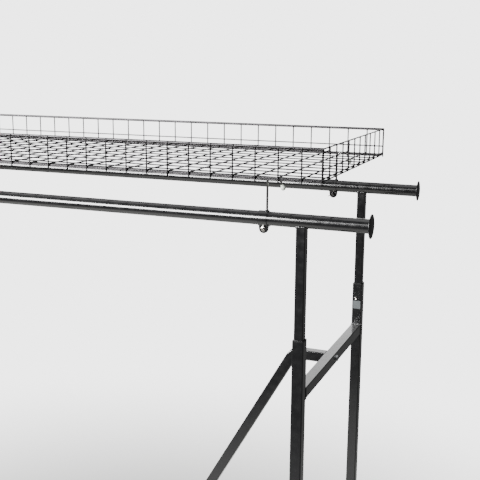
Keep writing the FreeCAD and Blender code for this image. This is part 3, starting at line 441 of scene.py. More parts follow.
def hexagon_ring(across, height, chamfer=0, count=48):
    """A hexagon as a ring. Its corners drop below the height with a chamfer of 1, and rise with -1."""
    ring = []
    for index in range(count):
        angle = 2 * math.pi * index / count
        away = across / 2 / math.cos((angle + math.pi / 6) % (math.pi / 3) - math.pi / 6)
        drop = chamfer * max(0, away - 0.49 * across) * math.tan(math.radians(30))
        ring.append(Vector((away * math.cos(angle), away * math.sin(angle), height - drop)))
    return ring


bright_nickel = plated_steel("bright_nickel_plate", "#cfccc6", 0.06, 0.16, 6)

SCREW_KEY = 0.004
for corner in CORNERS:
    low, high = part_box(f"height_screw_{corner}")
    middle = (low + high) / 2
    post_low, post_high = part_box(f"outer_post_{corner}")
    outward = 1 if middle.y < 0 else -1
    face = post_high.y if outward > 0 else post_low.y
    tall = (high.y - face) if outward > 0 else (face - low.y)
    depth = (face - low.y) if outward > 0 else (high.y - face)
    radius = (high.x - low.x) / 2
    rings = [round_ring(0.003, -depth, 48), round_ring(0.003, 0, 48), round_ring(radius - 0.0002, 0, 48)]
    rings.append(round_ring(radius, 0.0003, 48))
    for step in range(7):
        away = radius + (SCREW_KEY * 0.62 - radius) * step / 6
        rings.append(round_ring(away, tall * (0.25 + 0.75 * (1 - (away / radius) ** 2)), 48))
    key_mouth = rings[-1][0].z
    rings.append(hexagon_ring(SCREW_KEY, key_mouth - 0.0002))
    rings.append(hexagon_ring(SCREW_KEY, key_mouth - 0.0018))
    rings.append(round_ring(0.0002, key_mouth - 0.0024, 48))
    screw = bmesh.new()
    skin(screw, rings, origin=(middle.x, face, middle.z), axis=(0, outward, 0))
    finished(f"height_screw_head_{corner}", screw, bright_nickel, f"screw_{corner}", "bright_screw",
             f"height_screw_{corner}", sharp=40)


# Braces and their fixings: each square-tube brace has a steel block pressed into its top end, which
# takes a hexagon bolt through the cross bar, and its foot sits in a pressed bracket on a second bolt.
# Smaller bolts hold the brackets and the long bar's sockets. The fixings are zinc plated.
zinc_plate = plated_steel("zinc_plated_steel", "#b3b5b6", 0.24, 0.42, 20)
for node in ("brace_left", "brace_right", "foot_brackets"):
    paint_node(node, tube_enamel)
paint_node("brace_inserts", zinc_plate)


def hexagon_fixings(node, thread):
    """Bolts with turned heads and threaded tips, and nuts, in the place of a node's plain ones."""
    shell = bmesh.new()
    for low, high in solids(node):
        size = high - low
        flat, wide, long = sorted(range(3), key=lambda axis: size[axis])
        middle = (low + high) / 2
        if size[long] < 2 * size[wide]:
            axis = Vector((0, 0, 0))
            axis[flat] = 1
            tall = size[flat]
            across = size[wide] * math.cos(math.pi / 6)
            bore = thread / 2 + 0.0001
            rings = [
                hexagon_ring(across, 0.0003, -1),
                hexagon_ring(across, tall, 1),
                round_ring(across * 0.45, tall, 48),
                round_ring(bore + 0.0005, tall, 48),
                round_ring(bore, tall - 0.0005, 48),
                round_ring(bore, 0.0005, 48),
                round_ring(bore + 0.0005, 0, 48),
                round_ring(across * 0.47, 0, 48),
            ]
            skin(shell, rings, origin=middle - axis * tall / 2, axis=axis, closed=True)
            continue
        axis = Vector((0, 0, 0))
        axis[long] = -1 if long == 1 else 1
        if long == 0 and middle.x < 0:
            axis[long] = -1
        tall = 0.65 * thread
        across = 1.65 * thread
        reach = size[long] - tall
        radius = thread / 2
        rings = [round_ring(radius - 0.0008, -reach, 48), round_ring(radius, 0.0008 - reach, 48)]
        for turn in range(6):
            groove = (turn + 0.5) * thread * 0.15 + 0.0008 - reach
            rings.append(round_ring(radius - 0.0005, groove, 48))
            rings.append(round_ring(radius, groove + thread * 0.075, 48))
        rings += [
            round_ring(radius, 0, 48),
            round_ring(across * 0.48, 0, 48),
            round_ring(across * 0.48, 0.0004, 48),
            hexagon_ring(across, 0.0004),
            hexagon_ring(across, tall, 1),
            round_ring(across * 0.42, tall, 48),
        ]
        skin(shell, rings, origin=middle + axis * (size[long] / 2 - tall), axis=axis)
    return shell


BIG_THREAD = 0.008
SMALL_THREAD = 0.006
for node, thread in (("brace_bolts", BIG_THREAD), ("base_bolts", SMALL_THREAD)):
    fixings = hexagon_fixings(node, thread)
    finished(f"zinc_{node}", fixings, zinc_plate, "base_frame", "zinc_steel", node, sharp=28)


# End plugs: black nylon plates with a short plug, pushed into the open ends of the base's end bars.
plugs = bmesh.new()
for low, high in solids("end_bar_plugs"):
    middle = (low + high) / 2
    outward = 1 if middle.y > 0 else -1
    wide = high.x - low.x
    tall = high.z - low.z
    deep = high.y - low.y
    rings = [
        square_ring(wide - 0.0046, tall - 0.0046, 0.001, 0),
        square_ring(wide - 0.0042, tall - 0.0042, 0.001, 0.001),
        square_ring(wide - 0.0042, tall - 0.0042, 0.001, deep - 0.002),
        square_ring(wide, tall, 0.003, deep - 0.002),
        square_ring(wide, tall, 0.003, deep - 0.0008),
        square_ring(wide - 0.0005, tall - 0.0005, 0.0028, deep - 0.0002),
        square_ring(wide - 0.0016, tall - 0.0016, 0.0025, deep),
    ]
    start = low.y if outward > 0 else high.y
    skin(plugs, rings, origin=(middle.x, start, middle.z), axis=(0, outward, 0))
finished("end_bar_nylon_plugs", plugs, black_nylon, "base_frame", "black_plastic", "end_bar_plugs")


# Casters: pressed and zinc plated forks that turn on a riveted stem, nylon wheels with ribbed webs
# and grey rubber treads. The two at the front have a pedal that a foot presses on to the tread.
grey_rubber = moulded_plastic("grey_tread_rubber", "#66686a", 0.62, 1.6)
WHEEL_RIBS = 8


def growth(name, **inputs):
    """A Geometry Nodes tree with a mesh in, a mesh out and named inputs of the given kinds."""
    tree = bpy.data.node_groups.new(name, "GeometryNodeTree")
    tree.interface.new_socket("Geometry", in_out="INPUT", socket_type="NodeSocketGeometry")
    for label, kind in inputs.items():
        tree.interface.new_socket(label, in_out="INPUT", socket_type=f"NodeSocket{kind}")
    tree.interface.new_socket("Geometry", in_out="OUTPUT", socket_type="NodeSocketGeometry")
    return tree, tree.nodes.new("NodeGroupInput").outputs


def give(tree, geometry, material):
    """Ends a tree: instances made real, then the material."""
    real = add(tree, "GeometryNodeRealizeInstances", {"Geometry": geometry})
    dressed = add(tree, "GeometryNodeSetMaterial", {"Geometry": real.outputs[0], "Material": material})
    add(tree, "NodeGroupOutput", {"Geometry": dressed.outputs[0]})


def grow(seed, steps):
    """Runs trees one after another on a seed mesh, and gives back the plain mesh that they make."""
    ground = show("growing", seed)
    for tree, values in steps:
        modifier = ground.modifiers.new(tree.name, "NODES")
        modifier.node_group = tree
        for socket in tree.interface.items_tree:
            if socket.in_out == "INPUT" and socket.name in values:
                modifier[socket.identifier] = values[socket.name]
    ready = ground.evaluated_get(bpy.context.evaluated_depsgraph_get())
    mesh = bpy.data.meshes.new_from_object(ready)
    ground.modifiers.clear()
    bpy.data.objects.remove(ground)
    return mesh


ribs_tree, ribs_in = growth("wheel_ribs", Count="Int", Centre="Vector", Nylon="Material")
rib_points = add(ribs_tree, "GeometryNodePoints", {"Count": ribs_in["Count"], "Position": ribs_in["Centre"]})
rib_index = add(ribs_tree, "GeometryNodeInputIndex")
rib_share = add(ribs_tree, "ShaderNodeMath", {0: 2 * math.pi, 1: ribs_in["Count"]}, operation="DIVIDE")
rib_angle = add(ribs_tree, "ShaderNodeMath", {0: rib_index.outputs[0], 1: rib_share.outputs[0]},
                operation="MULTIPLY")
rib_turn = add(ribs_tree, "ShaderNodeCombineXYZ", {"Y": rib_angle.outputs[0]})
rib_copies = add(ribs_tree, "GeometryNodeInstanceOnPoints", {
    "Points": rib_points.outputs[0],
    "Instance": ribs_in["Geometry"],
    "Rotation": rib_turn.outputs[0],
})
give(ribs_tree, rib_copies.outputs[0], ribs_in["Nylon"])

rib_shell = bmesh.new()
for side in (-1, 1):
    rib = [
        (0.0098, 0.0055, 0.0016), (0.0265, 0.0055, 0.0016),
        (0.0265, 0.0095, 0.0010), (0.0098, 0.0112, 0.0010),
    ]
    faces = [[Vector((x, side * y, way * z)) for x, y, z in rib] for way in (-1, 1)]
    skin(rib_shell, faces)
rib_mesh = bpy.data.meshes.new("wheel_rib")
rib_shell.to_mesh(rib_mesh)

for corner in CORNERS:
    low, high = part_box(f"caster_wheel_{corner}")
    middle = (low + high) / 2
    tyre_low, tyre_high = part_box(f"caster_tyre_{corner}")
    seat = (high.z - low.z) / 2
    tread = (tyre_high.z - tyre_low.z) / 2
    boss = (high.y - low.y) / 2
    half = (tyre_high.y - tyre_low.y) / 2
    web = half - 0.006
    side_profile = [
        (0.00405, boss), (0.0055, boss), (0.0104, boss), (0.0110, boss - 0.0008), (0.0113, web + 0.001),
        (0.0125, web), (seat - 0.0045, web), (seat - 0.0036, web + 0.001), (seat - 0.0034, half - 0.0007),
        (seat - 0.0027, half), (seat, half),
    ]
    profile = side_profile + [(away, -height) for away, height in reversed(side_profile)]
    rings = [round_ring(away, height, 72) for away, height in profile]
    wheel = bmesh.new()
    values = {"Count": WHEEL_RIBS, "Centre": tuple(middle), "Nylon": black_nylon}
    wheel.from_mesh(grow(rib_mesh.copy(), [(ribs_tree, values)]))
    skin(wheel, rings, origin=middle, axis=(0, 1, 0), closed=True)
    finished(f"nylon_wheel_{corner}", wheel, black_nylon, f"wheel_{corner}", "black_plastic",
             f"caster_wheel_{corner}", sharp=30)

    crown = 0.003
    profile = [(seat + 0.0001, half), (tread - crown - 0.0008, half), (tread - crown, half - 0.0007)]
    for step in range(1, 16):
        across = (half - 0.0007) * math.cos(math.pi * step / 16)
        profile.append((tread - crown * (across / half) ** 2, across))
    profile += [(tread - crown, 0.0007 - half), (tread - crown - 0.0008, -half), (seat + 0.0001, -half)]
    rings = [round_ring(away, height, 96) for away, height in profile]
    tyre = bmesh.new()
    skin(tyre, rings, origin=middle, axis=(0, 1, 0), closed=True)
    finished(f"rubber_tread_{corner}", tyre, grey_rubber, f"wheel_{corner}", "grey_rubber",
             f"caster_tyre_{corner}", sharp=50)

    low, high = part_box(f"caster_axle_{corner}")
    face = (high.y - low.y) / 2
    radius = (high.z - low.z) / 2
    inner = face - 0.002
    profile = [(0.0004, face), (radius * 0.55, face - 0.0001), (radius * 0.85, face - 0.0005),
               (radius, face - 0.0013), (radius, inner), (0.004, inner)]
    profile += [(away, -height) for away, height in reversed(profile)]
    rings = [round_ring(away, height, 40) for away, height in profile]
    axle = bmesh.new()
    skin(axle, rings, origin=(low + high) / 2, axis=(0, 1, 0))
    finished(f"axle_rivet_{corner}", axle, zinc_plate, f"caster_{corner}", "zinc_steel",
             f"caster_axle_{corner}", sharp=40)
    paint_node(f"caster_fork_{corner}", zinc_plate)
paint_node("caster_stems", zinc_plate)


def slab(shell, low, high):
    """A plain block between two corners, for a shell whose edges are rounded afterwards."""
    corners = [(low[0], low[1]), (high[0], low[1]), (high[0], high[1]), (low[0], high[1])]
    skin(shell, [[Vector((x, y, height)) for x, y in corners] for height in (low[2], high[2])])


PEDAL_THICK = 0.0035
for corner in ("front_left", "front_right"):
    low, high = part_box(f"brake_lever_{corner}")
    middle = (low + high) / 2
    pin = 0.0025
    hub = 0.0045
    pivot = Vector((high.x - hub, middle.y, high.z - hub))
    pedal = bmesh.new()
    slab(pedal, (low.x, middle.y - 0.017, pivot.z - PEDAL_THICK),
         (low.x + 0.022, middle.y + 0.017, pivot.z - 0.0008))
    for ridge in range(5):
        start = low.x + 0.0022 + ridge * 0.0040
        slab(pedal, (start, middle.y - 0.0155, pivot.z - 0.0012),
             (start + 0.0016, middle.y + 0.0155, pivot.z))
    slab(pedal, (low.x + 0.020, middle.y - 0.0065, pivot.z - PEDAL_THICK),
         (pivot.x, middle.y + 0.0065, pivot.z))
    slab(pedal, (pivot.x - 0.012, middle.y - 0.009, low.z),
         (pivot.x - 0.004, middle.y + 0.009, pivot.z - 0.001))
    for radius, reach in ((hub, 0.0126), (pin, (high.y - low.y) / 2 - 0.0002)):
        rings = [round_ring(radius, -reach, 32), round_ring(radius, reach, 32)]
        skin(pedal, rings, origin=pivot, axis=(0, 1, 0))
    finished(f"brake_pedal_{corner}", pedal, black_nylon, f"brake_{corner}", "black_plastic",
             f"brake_lever_{corner}", bevel=0.0004)


# Rail clamps: a strip of steel, 21 mm wide, bent round the rail with its two ears drawn together
# underneath by a screw. Each carries a basket hook welded on top, and all are painted black.
STRAP_THICK = 0.0015
EAR_GAP = 0.002
EAR_BEND = 0.003
ROD_OFFSET = 0.007
clamps = bmesh.new()
for low, high in solids("rail_clamps"):
    middle = (low + high) / 2
    rail = rails["front" if middle.y < 0 else "rear"]
    half_wide = (high.x - low.x) / 2
    ring_radius = rail_radius + 0.0001 + STRAP_THICK / 2
    ear = EAR_GAP / 2 + STRAP_THICK / 2
    rounded = 0.010
    ear_axis = low.z + rounded - rail.z
    bend_height = -math.sqrt((ring_radius + EAR_BEND) ** 2 - (ear + EAR_BEND) ** 2)
    stations = []
    for step in range(13):
        height = -rounded + rounded * step / 12
        edge = math.sqrt(max(rounded ** 2 - height ** 2, 0.0006 ** 2))
        stations.append((-ear, ear_axis + height, edge))
    stations.append((-ear, ear_axis + 0.001, half_wide))
    leave = math.atan2(-bend_height, ear + EAR_BEND)
    for step in range(7):
        angle = leave * step / 6
        across = -ear - EAR_BEND + EAR_BEND * math.cos(angle)
        stations.append((across, bend_height + EAR_BEND * math.sin(angle), half_wide))
    first = math.pi + leave
    for step in range(1, 72):
        angle = first - (2 * leave + math.pi) * step / 72
        stations.append((ring_radius * math.cos(angle), ring_radius * math.sin(angle), half_wide))
    stations += [(-across, height, edge) for across, height, edge in reversed(stations[:21])]
    rings = []
    for index, (across, height, edge) in enumerate(stations):
        before = stations[max(index - 1, 0)]
        after = stations[min(index + 1, len(stations) - 1)]
        along = Vector((0, after[0] - before[0], after[1] - before[1])).normalized()
        out = Vector((0, -along.z, along.y)) * STRAP_THICK / 2
        place = Vector((middle.x, rail.y + across, rail.z + height))
        sideways = Vector((edge, 0, 0))
        lower, upper = place - out, place + out
        rings.append([lower - sideways, lower + sideways, upper + sideways, upper - sideways])
    skin(clamps, rings)
    rod_x = middle.x + math.copysign(ROD_OFFSET, middle.x)
    foot = rail.z + ring_radius + STRAP_THICK / 2
    weld = [(0.0052, -0.0008), (0.0047, 0.0004), (0.0036, 0.0010), (0.0029, 0.0020), (0.0025, 0.0036)]
    skin(clamps, [round_ring(away, height, 32) for away, height in weld], origin=(rod_x, rail.y, foot))
finished("rail_strap_clamps", clamps, tube_enamel, "sliding_rack", "black_paint", "rail_clamps", sharp=40,
         bevel=0.0003)


# Clamp screws: bright pan-head screws with a cross recess, put through the ears from outside the rack.
def cross_ring(long, wide, height, count=64):
    """The outline of a screwdriver's cross as a ring."""
    ring = []
    for index in range(count):
        angle = 2 * math.pi * index / count
        level = max(abs(math.cos(angle)), 1e-6)
        upright = max(abs(math.sin(angle)), 1e-6)
        away = max(min(long / level, wide / upright), min(wide / level, long / upright))
        ring.append(Vector((away * math.cos(angle), away * math.sin(angle), height)))
    return ring


screws = bmesh.new()
for low, high in solids("clamp_bolts"):
    middle = (low + high) / 2
    radius = (high.z - low.z) / 2
    tall = 0.0036
    shank = 0.0025
    length = high.y - low.y - tall
    rings = [round_ring(shank - 0.0006, -length), round_ring(shank, 0.0006 - length)]
    for turn in range(6):
        groove = 0.0009 + turn * 0.0008 - length
        rings += [round_ring(shank - 0.0003, groove), round_ring(shank, groove + 0.0004)]
    rings += [round_ring(shank, 0), round_ring(radius - 0.0003, 0), round_ring(radius, 0.0003)]
    for step in range(9):
        away = radius * math.cos(math.pi / 2 * (0.1 + 0.62 * step / 8))
        rings.append(round_ring(away, 0.0008 + (tall - 0.0008) * math.sqrt(1 - (away / radius) ** 2) ** 0.8))
    mouth = rings[-1][0].z
    rings += [cross_ring(0.0019, 0.00045, mouth), cross_ring(0.0012, 0.0003, mouth - 0.0015)]
    outward = math.copysign(1, middle.y)
    head = high.y if outward > 0 else low.y
    skin(screws, rings, origin=(middle.x, head - outward * tall, middle.z), axis=(0, outward, 0))
finished("pan_head_clamp_screws", screws, bright_nickel, "sliding_rack", "bright_screw", "clamp_bolts",
         sharp=30)


# Wing nuts: cast, with a black nickel finish, on the inner side of the ears. The two wings lie in the
# plane of the screw and flare away from the ears, and each nut was left with its right wing a little up.
black_nickel = plated_steel("black_nickel_plate", "#4a494b", 0.18, 0.34, 9)
WING_TILT = math.radians(24)
nuts = bmesh.new()
for low, high in solids("wing_nuts"):
    middle = (low + high) / 2
    hub = high.y - low.y
    inward = -math.copysign(1, middle.y)
    origin = Vector((middle.x, low.y if inward > 0 else high.y, middle.z))
    rings = [round_ring(away, height, 40) for away, height in (
        (0.0027, 0.0), (0.0045, 0.0), (0.0047, 0.0005), (0.0040, hub - 0.0006), (0.0036, hub), (0.0031, hub),
        (0.0027, hub - 0.0004))]
    skin(nuts, rings, origin=origin, axis=(0, inward, 0), closed=True)
    for way in (-1, 1):
        lobe = [(0.0034, 0.0010), (0.0060, 0.0006), (0.0090, 0.0018), (0.0118, 0.0040), (0.0130, 0.0062),
                (0.0128, 0.0084), (0.0114, 0.0097), (0.0096, 0.0095), (0.0080, 0.0078), (0.0060, 0.0058),
                (0.0038, 0.0048)]
        faces = []
        for lift in (-0.001, 0.001):
            turned = []
            for out, back in lobe:
                thin = lift * (1.25 - out / 0.026)
                x = way * out * math.cos(WING_TILT) - thin * math.sin(WING_TILT)
                z = way * out * math.sin(WING_TILT) + thin * math.cos(WING_TILT)
                turned.append(origin + Vector((x, inward * back, z)))
            faces.append(turned)
        skin(nuts, faces)
finished("cast_wing_nuts", nuts, black_nickel, "sliding_rack", "dark_wire", "wing_nuts", bevel=0.0004)


# Basket hooks: 5 mm rod, chromed, that rises from each clamp, turns level to pass under the basket's
# floor, and turns down again. Its tail ends in a moulded ball, which saves hands and clothes.
chrome = plated_steel("chromed_rod", "#d4d3d0", 0.04, 0.12, 12)
pale_tip = moulded_plastic("pale_moulded_tip", "#c3cabf", 0.30, 1.4)
ROD = 0.0025
HOOK_BEND = 0.0065
TAIL_OUT = 0.0078
TAIL_DROP = 0.020

rod_tree, rod_in = growth("bent_rod", Bend="Float", Radius="Float", Finish="Material")
rod_line = add(rod_tree, "GeometryNodeMeshToCurve", {"Mesh": rod_in["Geometry"]})
rod_bent = add(rod_tree, "GeometryNodeFilletCurve", {
    "Curve": rod_line.outputs[0], "Radius": rod_in["Bend"], "Count": 12, "Limit Radius": True}, mode="POLY")
rod_round = add(rod_tree, "GeometryNodeCurvePrimitiveCircle", {"Resolution": 28, "Radius": rod_in["Radius"]})
rod_made = add(rod_tree, "GeometryNodeCurveToMesh", {
    "Curve": rod_bent.outputs[0], "Profile Curve": rod_round.outputs[0], "Fill Caps": True})
give(rod_tree, rod_made.outputs[0], rod_in["Finish"])

rod_lines = bmesh.new()
tips = bmesh.new()
hook_boxes = solids("basket_hooks")
ball_boxes = solids("hook_balls")
for (low, high), (ball_low, ball_high) in zip(hook_boxes, ball_boxes):
    end = 1 if low.x > 0 else -1
    y = (low.y + high.y) / 2
    ball = (ball_low + ball_high) / 2
    ball_radius = (ball_high.y - ball_low.y) / 2
    foot_x = (low.x if end > 0 else high.x) + end * ROD
    bridge = high.z - ROD
    ball.x = (ball_high.x - ball_radius) if end > 0 else (ball_low.x + ball_radius)
    ball.z = ball_low.z + ball_radius
    corners = [
        (foot_x, y, low.z),
        (foot_x, y, bridge),
        (ball.x - end * TAIL_OUT, y, ball.z + TAIL_DROP),
        tuple(ball),
    ]
    made = [rod_lines.verts.new(place) for place in corners]
    for start, stop in zip(made, made[1:]):
        rod_lines.edges.new((start, stop))
    up = Vector((-end * TAIL_OUT, 0, TAIL_DROP)).normalized()
    rings = []
    for step in range(1, 22):
        angle = -math.pi / 2 + math.pi * step / 25
        rings.append(round_ring(ball_radius * math.cos(angle), ball_radius * math.sin(angle), 40))
    rings += [round_ring(0.0034, 0.0051, 40), round_ring(0.0033, 0.0066, 40), round_ring(0.0029, 0.0070, 40),
              round_ring(0.0026, 0.0066, 40)]
    skin(tips, rings, origin=ball, axis=up)
rod_mesh = bpy.data.meshes.new("hook_lines")
rod_lines.to_mesh(rod_mesh)
hooks = bmesh.new()
hooks.from_mesh(grow(rod_mesh, [(rod_tree, {"Bend": HOOK_BEND, "Radius": ROD, "Finish": chrome})]))
finished("chromed_basket_hooks", hooks, chrome, "sliding_rack", "bright_screw", "basket_hooks", sharp=40)
finished("moulded_hook_tips", tips, pale_tip, "sliding_rack", "pale_plastic", "hook_balls", sharp=40)


# Basket: 3.2 mm wires at a 2 inch pitch between 6.4 mm rims, spot welded where they cross and then
# plated black. The long walls' uprights stand outside the level wires with their cut ends below.
basket_low, basket_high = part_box("basket_wall_front")
end_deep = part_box("basket_wall_right")[1].y
floor_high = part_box("basket_floor")[1]
WIRE = 0.0016
RIM = 0.003175
DRAWN_WIRE = 0.00142
DRAWN_RIM = 0.002815
PITCH = 0.0508
MID_WIRE = 0.023
WIRE_TAIL = 0.005
WELD_SINK = 0.0003
black_wire = plated_steel("black_plated_wire", "#3c3b3c", 0.22, 0.38, 30)

row_tree, row_in = growth("wire_row", Count="Int", First="Vector", Step="Vector", Reach="Vector",
                          Radius="Float", Plate="Material")
row_points = add(row_tree, "GeometryNodeMeshLine", {
    "Count": row_in["Count"], "Start Location": row_in["First"], "Offset": row_in["Step"]}, mode="OFFSET")
row_back = add(row_tree, "ShaderNodeVectorMath", {0: row_in["Reach"], "Scale": -1.0}, operation="SCALE")
row_line = add(row_tree, "GeometryNodeCurvePrimitiveLine", {
    "Start": row_back.outputs[0], "End": row_in["Reach"]})
row_round = add(row_tree, "GeometryNodeCurvePrimitiveCircle", {"Resolution": 14, "Radius": row_in["Radius"]})
row_wire = add(row_tree, "GeometryNodeCurveToMesh", {
    "Curve": row_line.outputs[0], "Profile Curve": row_round.outputs[0], "Fill Caps": True})
row_copies = add(row_tree, "GeometryNodeInstanceOnPoints", {
    "Points": row_points.outputs[0], "Instance": row_wire.outputs[0]})
row_all = add(row_tree, "GeometryNodeJoinGeometry", {"Geometry": row_in["Geometry"]})
row_tree.links.new(row_copies.outputs[0], row_all.inputs["Geometry"])
give(row_tree, row_all.outputs[0], row_in["Plate"])

spot_tree, spot_in = growth("spot_welds", Rows="Int", Columns="Int", First="Vector", Down="Vector",
                            Along="Vector", Size="Vector", Plate="Material")
spot_row = add(spot_tree, "GeometryNodeMeshLine", {
    "Count": spot_in["Columns"], "Start Location": (0, 0, 0), "Offset": spot_in["Along"]}, mode="OFFSET")
spot_column = add(spot_tree, "GeometryNodeMeshLine", {
    "Count": spot_in["Rows"], "Start Location": spot_in["First"], "Offset": spot_in["Down"]}, mode="OFFSET")
spot_bead = add(spot_tree, "GeometryNodeMeshUVSphere", {"Segments": 8, "Rings": 5, "Radius": 1.0})
spot_line = add(spot_tree, "GeometryNodeInstanceOnPoints", {
    "Points": spot_row.outputs[0], "Instance": spot_bead.outputs[0], "Scale": spot_in["Size"]})
spot_field = add(spot_tree, "GeometryNodeInstanceOnPoints", {
    "Points": spot_column.outputs[0], "Instance": spot_line.outputs[0]})
spot_all = add(spot_tree, "GeometryNodeJoinGeometry", {"Geometry": spot_in["Geometry"]})
spot_tree.links.new(spot_field.outputs[0], spot_all.inputs["Geometry"])
give(spot_tree, spot_all.outputs[0], spot_in["Plate"])

half_long = basket_high.x
half_deep = abs(basket_low.y + DRAWN_RIM)
top_wire = basket_high.z - DRAWN_RIM
foot_wire = basket_low.z + WIRE_TAIL
floor_wire = foot_wire + 2 * DRAWN_WIRE - WELD_SINK
cross_wire = floor_wire + 2 * DRAWN_WIRE - WELD_SINK
steps = []


def row(count, first, step, reach, radius=WIRE):
    steps.append((row_tree, {"Count": count, "First": first, "Step": step, "Reach": reach, "Radius": radius,
                             "Plate": black_wire}))


def spots(rows, columns, first, down, along, size):
    steps.append((spot_tree, {"Rows": rows, "Columns": columns, "First": first, "Down": down, "Along": along,
                              "Size": size, "Plate": black_wire}))


def pitch_count(reach):
    return int((2 * reach - 2 * DRAWN_WIRE) // PITCH)


tall_reach = (top_wire - foot_wire + WIRE_TAIL) / 2
tall_middle = (top_wire + foot_wire - WIRE_TAIL) / 2
end_reach = (top_wire - foot_wire) / 2
end_middle = (top_wire + foot_wire) / 2
inside_wire = 2 * WIRE - 2 * WELD_SINK
inside_rim = WIRE + RIM - 2 * WELD_SINK
x_count = pitch_count(half_long)
y_count = pitch_count(end_deep)
x_edge = half_long - DRAWN_WIRE
y_edge = end_deep - DRAWN_WIRE
for side in (-1, 1):
    y = side * half_deep
    row(x_count, (PITCH - half_long, y, tall_middle), (PITCH, 0, 0), (0, 0, tall_reach))
    row(2, (-x_edge, y, tall_middle), (2 * x_edge, 0, 0), (0, 0, tall_reach))
    row(1, (0, y - side * inside_wire, foot_wire), (0, 0, 0), (half_long, 0, 0))
    row(1, (0, y - side * inside_wire, foot_wire + MID_WIRE), (0, 0, 0), (half_long, 0, 0))
    row(1, (0, y - side * inside_rim, top_wire), (0, 0, 0), (half_long, 0, 0), RIM)
    joint = y - side * inside_wire / 2
    spots(2, x_count, (PITCH - half_long, joint, foot_wire), (0, 0, MID_WIRE), (PITCH, 0, 0),
          (0.0019, 0.0013, 0.0019))
    spots(1, x_count, (PITCH - half_long, y - side * 0.0013, top_wire), (0, 0, 0), (PITCH, 0, 0),
          (0.0021, 0.0014, 0.0021))
for end in (-1, 1):
    x = end * (half_long - DRAWN_WIRE)
    row(y_count, (x, PITCH - end_deep, end_middle), (0, PITCH, 0), (0, 0, end_reach))
    row(2, (x, -y_edge, end_middle), (0, 2 * y_edge, 0), (0, 0, end_reach))
    row(2, (x - end * inside_wire, 0, foot_wire), (0, 0, top_wire - foot_wire), (0, end_deep, 0))
    spots(2, y_count, (x - end * inside_wire / 2, PITCH - end_deep, foot_wire), (0, 0, top_wire - foot_wire),
          (0, PITCH, 0), (0.0013, 0.0019, 0.0019))
row(y_count, (0, PITCH - end_deep, floor_wire), (0, PITCH, 0), (floor_high.x, 0, 0))
row(2, (0, -y_edge, floor_wire), (0, 2 * y_edge, 0), (floor_high.x, 0, 0))
row(x_count, (PITCH - half_long, 0, cross_wire), (PITCH, 0, 0), (0, floor_high.y, 0))
edge = floor_high.x - DRAWN_WIRE
row(2, (-edge, 0, cross_wire), (2 * edge, 0, 0), (0, floor_high.y, 0))
spots(y_count, x_count, (PITCH - half_long, PITCH - end_deep, (floor_wire + cross_wire) / 2), (0, PITCH, 0),
      (PITCH, 0, 0), (0.0019, 0.0019, 0.0013))
basket = bmesh.new()
basket.from_mesh(grow(bpy.data.meshes.new("basket_seed"), steps))
finished("welded_wire_basket", basket, black_wire, "sliding_rack", "dark_wire", "basket_floor",
         "basket_wall_front", "basket_wall_rear", "basket_wall_left", "basket_wall_right", sharp=50)


# Painted reflection: a thin grey satin patch on the front face of the rear right post, under its height
# screw, painted where the reflection below the screw falls.
REFLECTION_PATCH_WIDE = 0.020
REFLECTION_PATCH_TALL = 0.022
REFLECTION_PATCH_THICK = 0.0002
REFLECTION_PATCH_DROP = 0.017
# This grey patch is a painted reflection on the post, not a label that the rack carries.
reflection_patch_paint = moulded_plastic("painted_reflection_patch", "#4c5051", 0.42, 0.9)
post_low, post_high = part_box("outer_post_rear_right")
screw_low, screw_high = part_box("height_screw_rear_right")
place = ((post_low.x + post_high.x) / 2, post_low.y, (screw_low.z + screw_high.z) / 2 - REFLECTION_PATCH_DROP)
label = bmesh.new()
rings = [square_ring(REFLECTION_PATCH_WIDE, REFLECTION_PATCH_TALL, 0.0015, height) for height in (0, REFLECTION_PATCH_THICK)]
skin(label, rings, origin=place, axis=(0, -1, 0))
finished("painted_reflection_on_post", label, reflection_patch_paint, "base_frame", "pale_plastic")


# Weld beads: a fillet of weld, painted over, runs round each tube where it meets its neighbour.
bead_tree, bead_in = growth("weld_bead", Radius="Float", Ripple="Float", Paint="Material")
bead_line = add(bead_tree, "GeometryNodeMeshToCurve", {"Mesh": bead_in["Geometry"]})
bead_even = add(bead_tree, "GeometryNodeResampleCurve", {"Curve": bead_line.outputs[0], "Length": 0.0008},
                mode="LENGTH")
bead_round = add(bead_tree, "GeometryNodeCurvePrimitiveCircle", {
    "Resolution": 10, "Radius": bead_in["Radius"]})
bead_made = add(bead_tree, "GeometryNodeCurveToMesh", {
    "Curve": bead_even.outputs[0], "Profile Curve": bead_round.outputs[0], "Fill Caps": True})
bead_place = add(bead_tree, "GeometryNodeInputPosition")
bead_noise = add(bead_tree, "ShaderNodeTexNoise", {
    "Vector": bead_place.outputs[0], "Scale": millimetres(2.2), "Detail": 1.0})
bead_swing = add(bead_tree, "ShaderNodeMath", {0: bead_noise.outputs["Fac"], 1: 0.5}, operation="SUBTRACT")
bead_size = add(bead_tree, "ShaderNodeMath", {0: bead_swing.outputs[0], 1: bead_in["Ripple"]},
                operation="MULTIPLY")
bead_normal = add(bead_tree, "GeometryNodeInputNormal")
bead_push = add(bead_tree, "ShaderNodeVectorMath", {0: bead_normal.outputs[0], "Scale": bead_size.outputs[0]},
                operation="SCALE")
bead_rough = add(bead_tree, "GeometryNodeSetPosition", {
    "Geometry": bead_made.outputs[0], "Offset": bead_push.outputs[0]})
give(bead_tree, bead_rough.outputs[0], bead_in["Paint"])


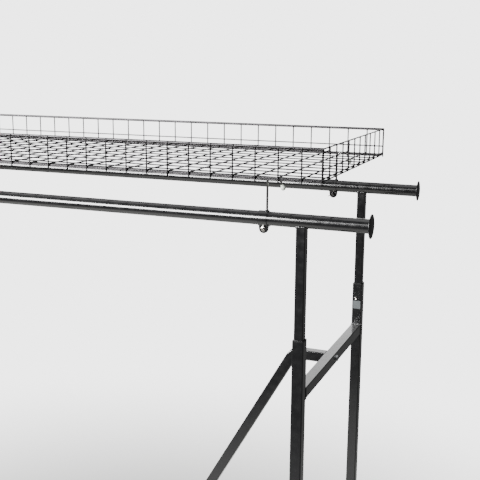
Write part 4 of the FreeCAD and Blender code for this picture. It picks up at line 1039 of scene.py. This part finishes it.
def loop(lines, places):
    """A closed line through places."""
    made = [lines.verts.new(place) for place in places]
    for start, stop in zip(made, made[1:] + made[:1]):
        lines.edges.new((start, stop))


def square_loop(lines, centre, first, second, half_first, half_second, corner=0.0016):
    """A rounded rectangle about a centre, in the plane of two directions."""
    ring = square_ring(2 * half_first, 2 * half_second, corner, 0, 3)
    loop(lines, [Vector(centre) + Vector(first) * point.x + Vector(second) * point.y for point in ring])


def weld_up(name, lines, radius, body):
    mesh = bpy.data.meshes.new(name)
    lines.to_mesh(mesh)
    values = {"Radius": radius, "Ripple": 0.0012, "Paint": tube_enamel}
    beads = bmesh.new()
    beads.from_mesh(grow(mesh, [(bead_tree, values)]))
    return finished(name, beads, tube_enamel, body, "black_paint", sharp=80)


rack_lines = bmesh.new()
for corner in CORNERS:
    low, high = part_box(f"upright_{corner}")
    middle = (low + high) / 2
    rail = rails[corner.split("_")[0]]
    half = (high.x - low.x) / 2
    saddle = []
    ring = square_ring(2 * half + 0.0006, 2 * half + 0.0006, 0.0022, 0, 3)
    for start, stop in zip(ring, ring[1:] + ring[:1]):
        for step in range(8):
            point = start.lerp(stop, step / 8)
            if not saddle or (saddle[-1] - point).length > 0.0005:
                saddle.append(point)
    loop(rack_lines, [
        Vector((middle.x + point.x, rail.y + point.y,
                rail.z - math.sqrt((rail_radius + 0.0006) ** 2 - point.y ** 2))) for point in saddle])
weld_up("rail_saddle_welds", rack_lines, 0.0017, "sliding_rack")

base_lines = bmesh.new()
for end in ("left", "right"):
    low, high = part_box(f"cross_bar_{end}")
    middle = (low + high) / 2
    half = (high.x - low.x) / 2
    for y in (low.y, high.y):
        square_loop(base_lines, (middle.x, y, middle.z), (1, 0, 0), (0, 0, 1), half, half)
for corner in CORNERS:
    low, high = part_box(f"outer_post_{corner}")
    middle = (low + high) / 2
    half = (high.x - low.x) / 2
    square_loop(base_lines, (middle.x, middle.y, low.z), (1, 0, 0), (0, 1, 0), half, half)
weld_up("frame_welds", base_lines, 0.0016, "base_frame")


# The view layer is brought up to date; the CAD nodes that the pieces stand for stay in the scene, hidden.
bpy.context.view_layer.update()
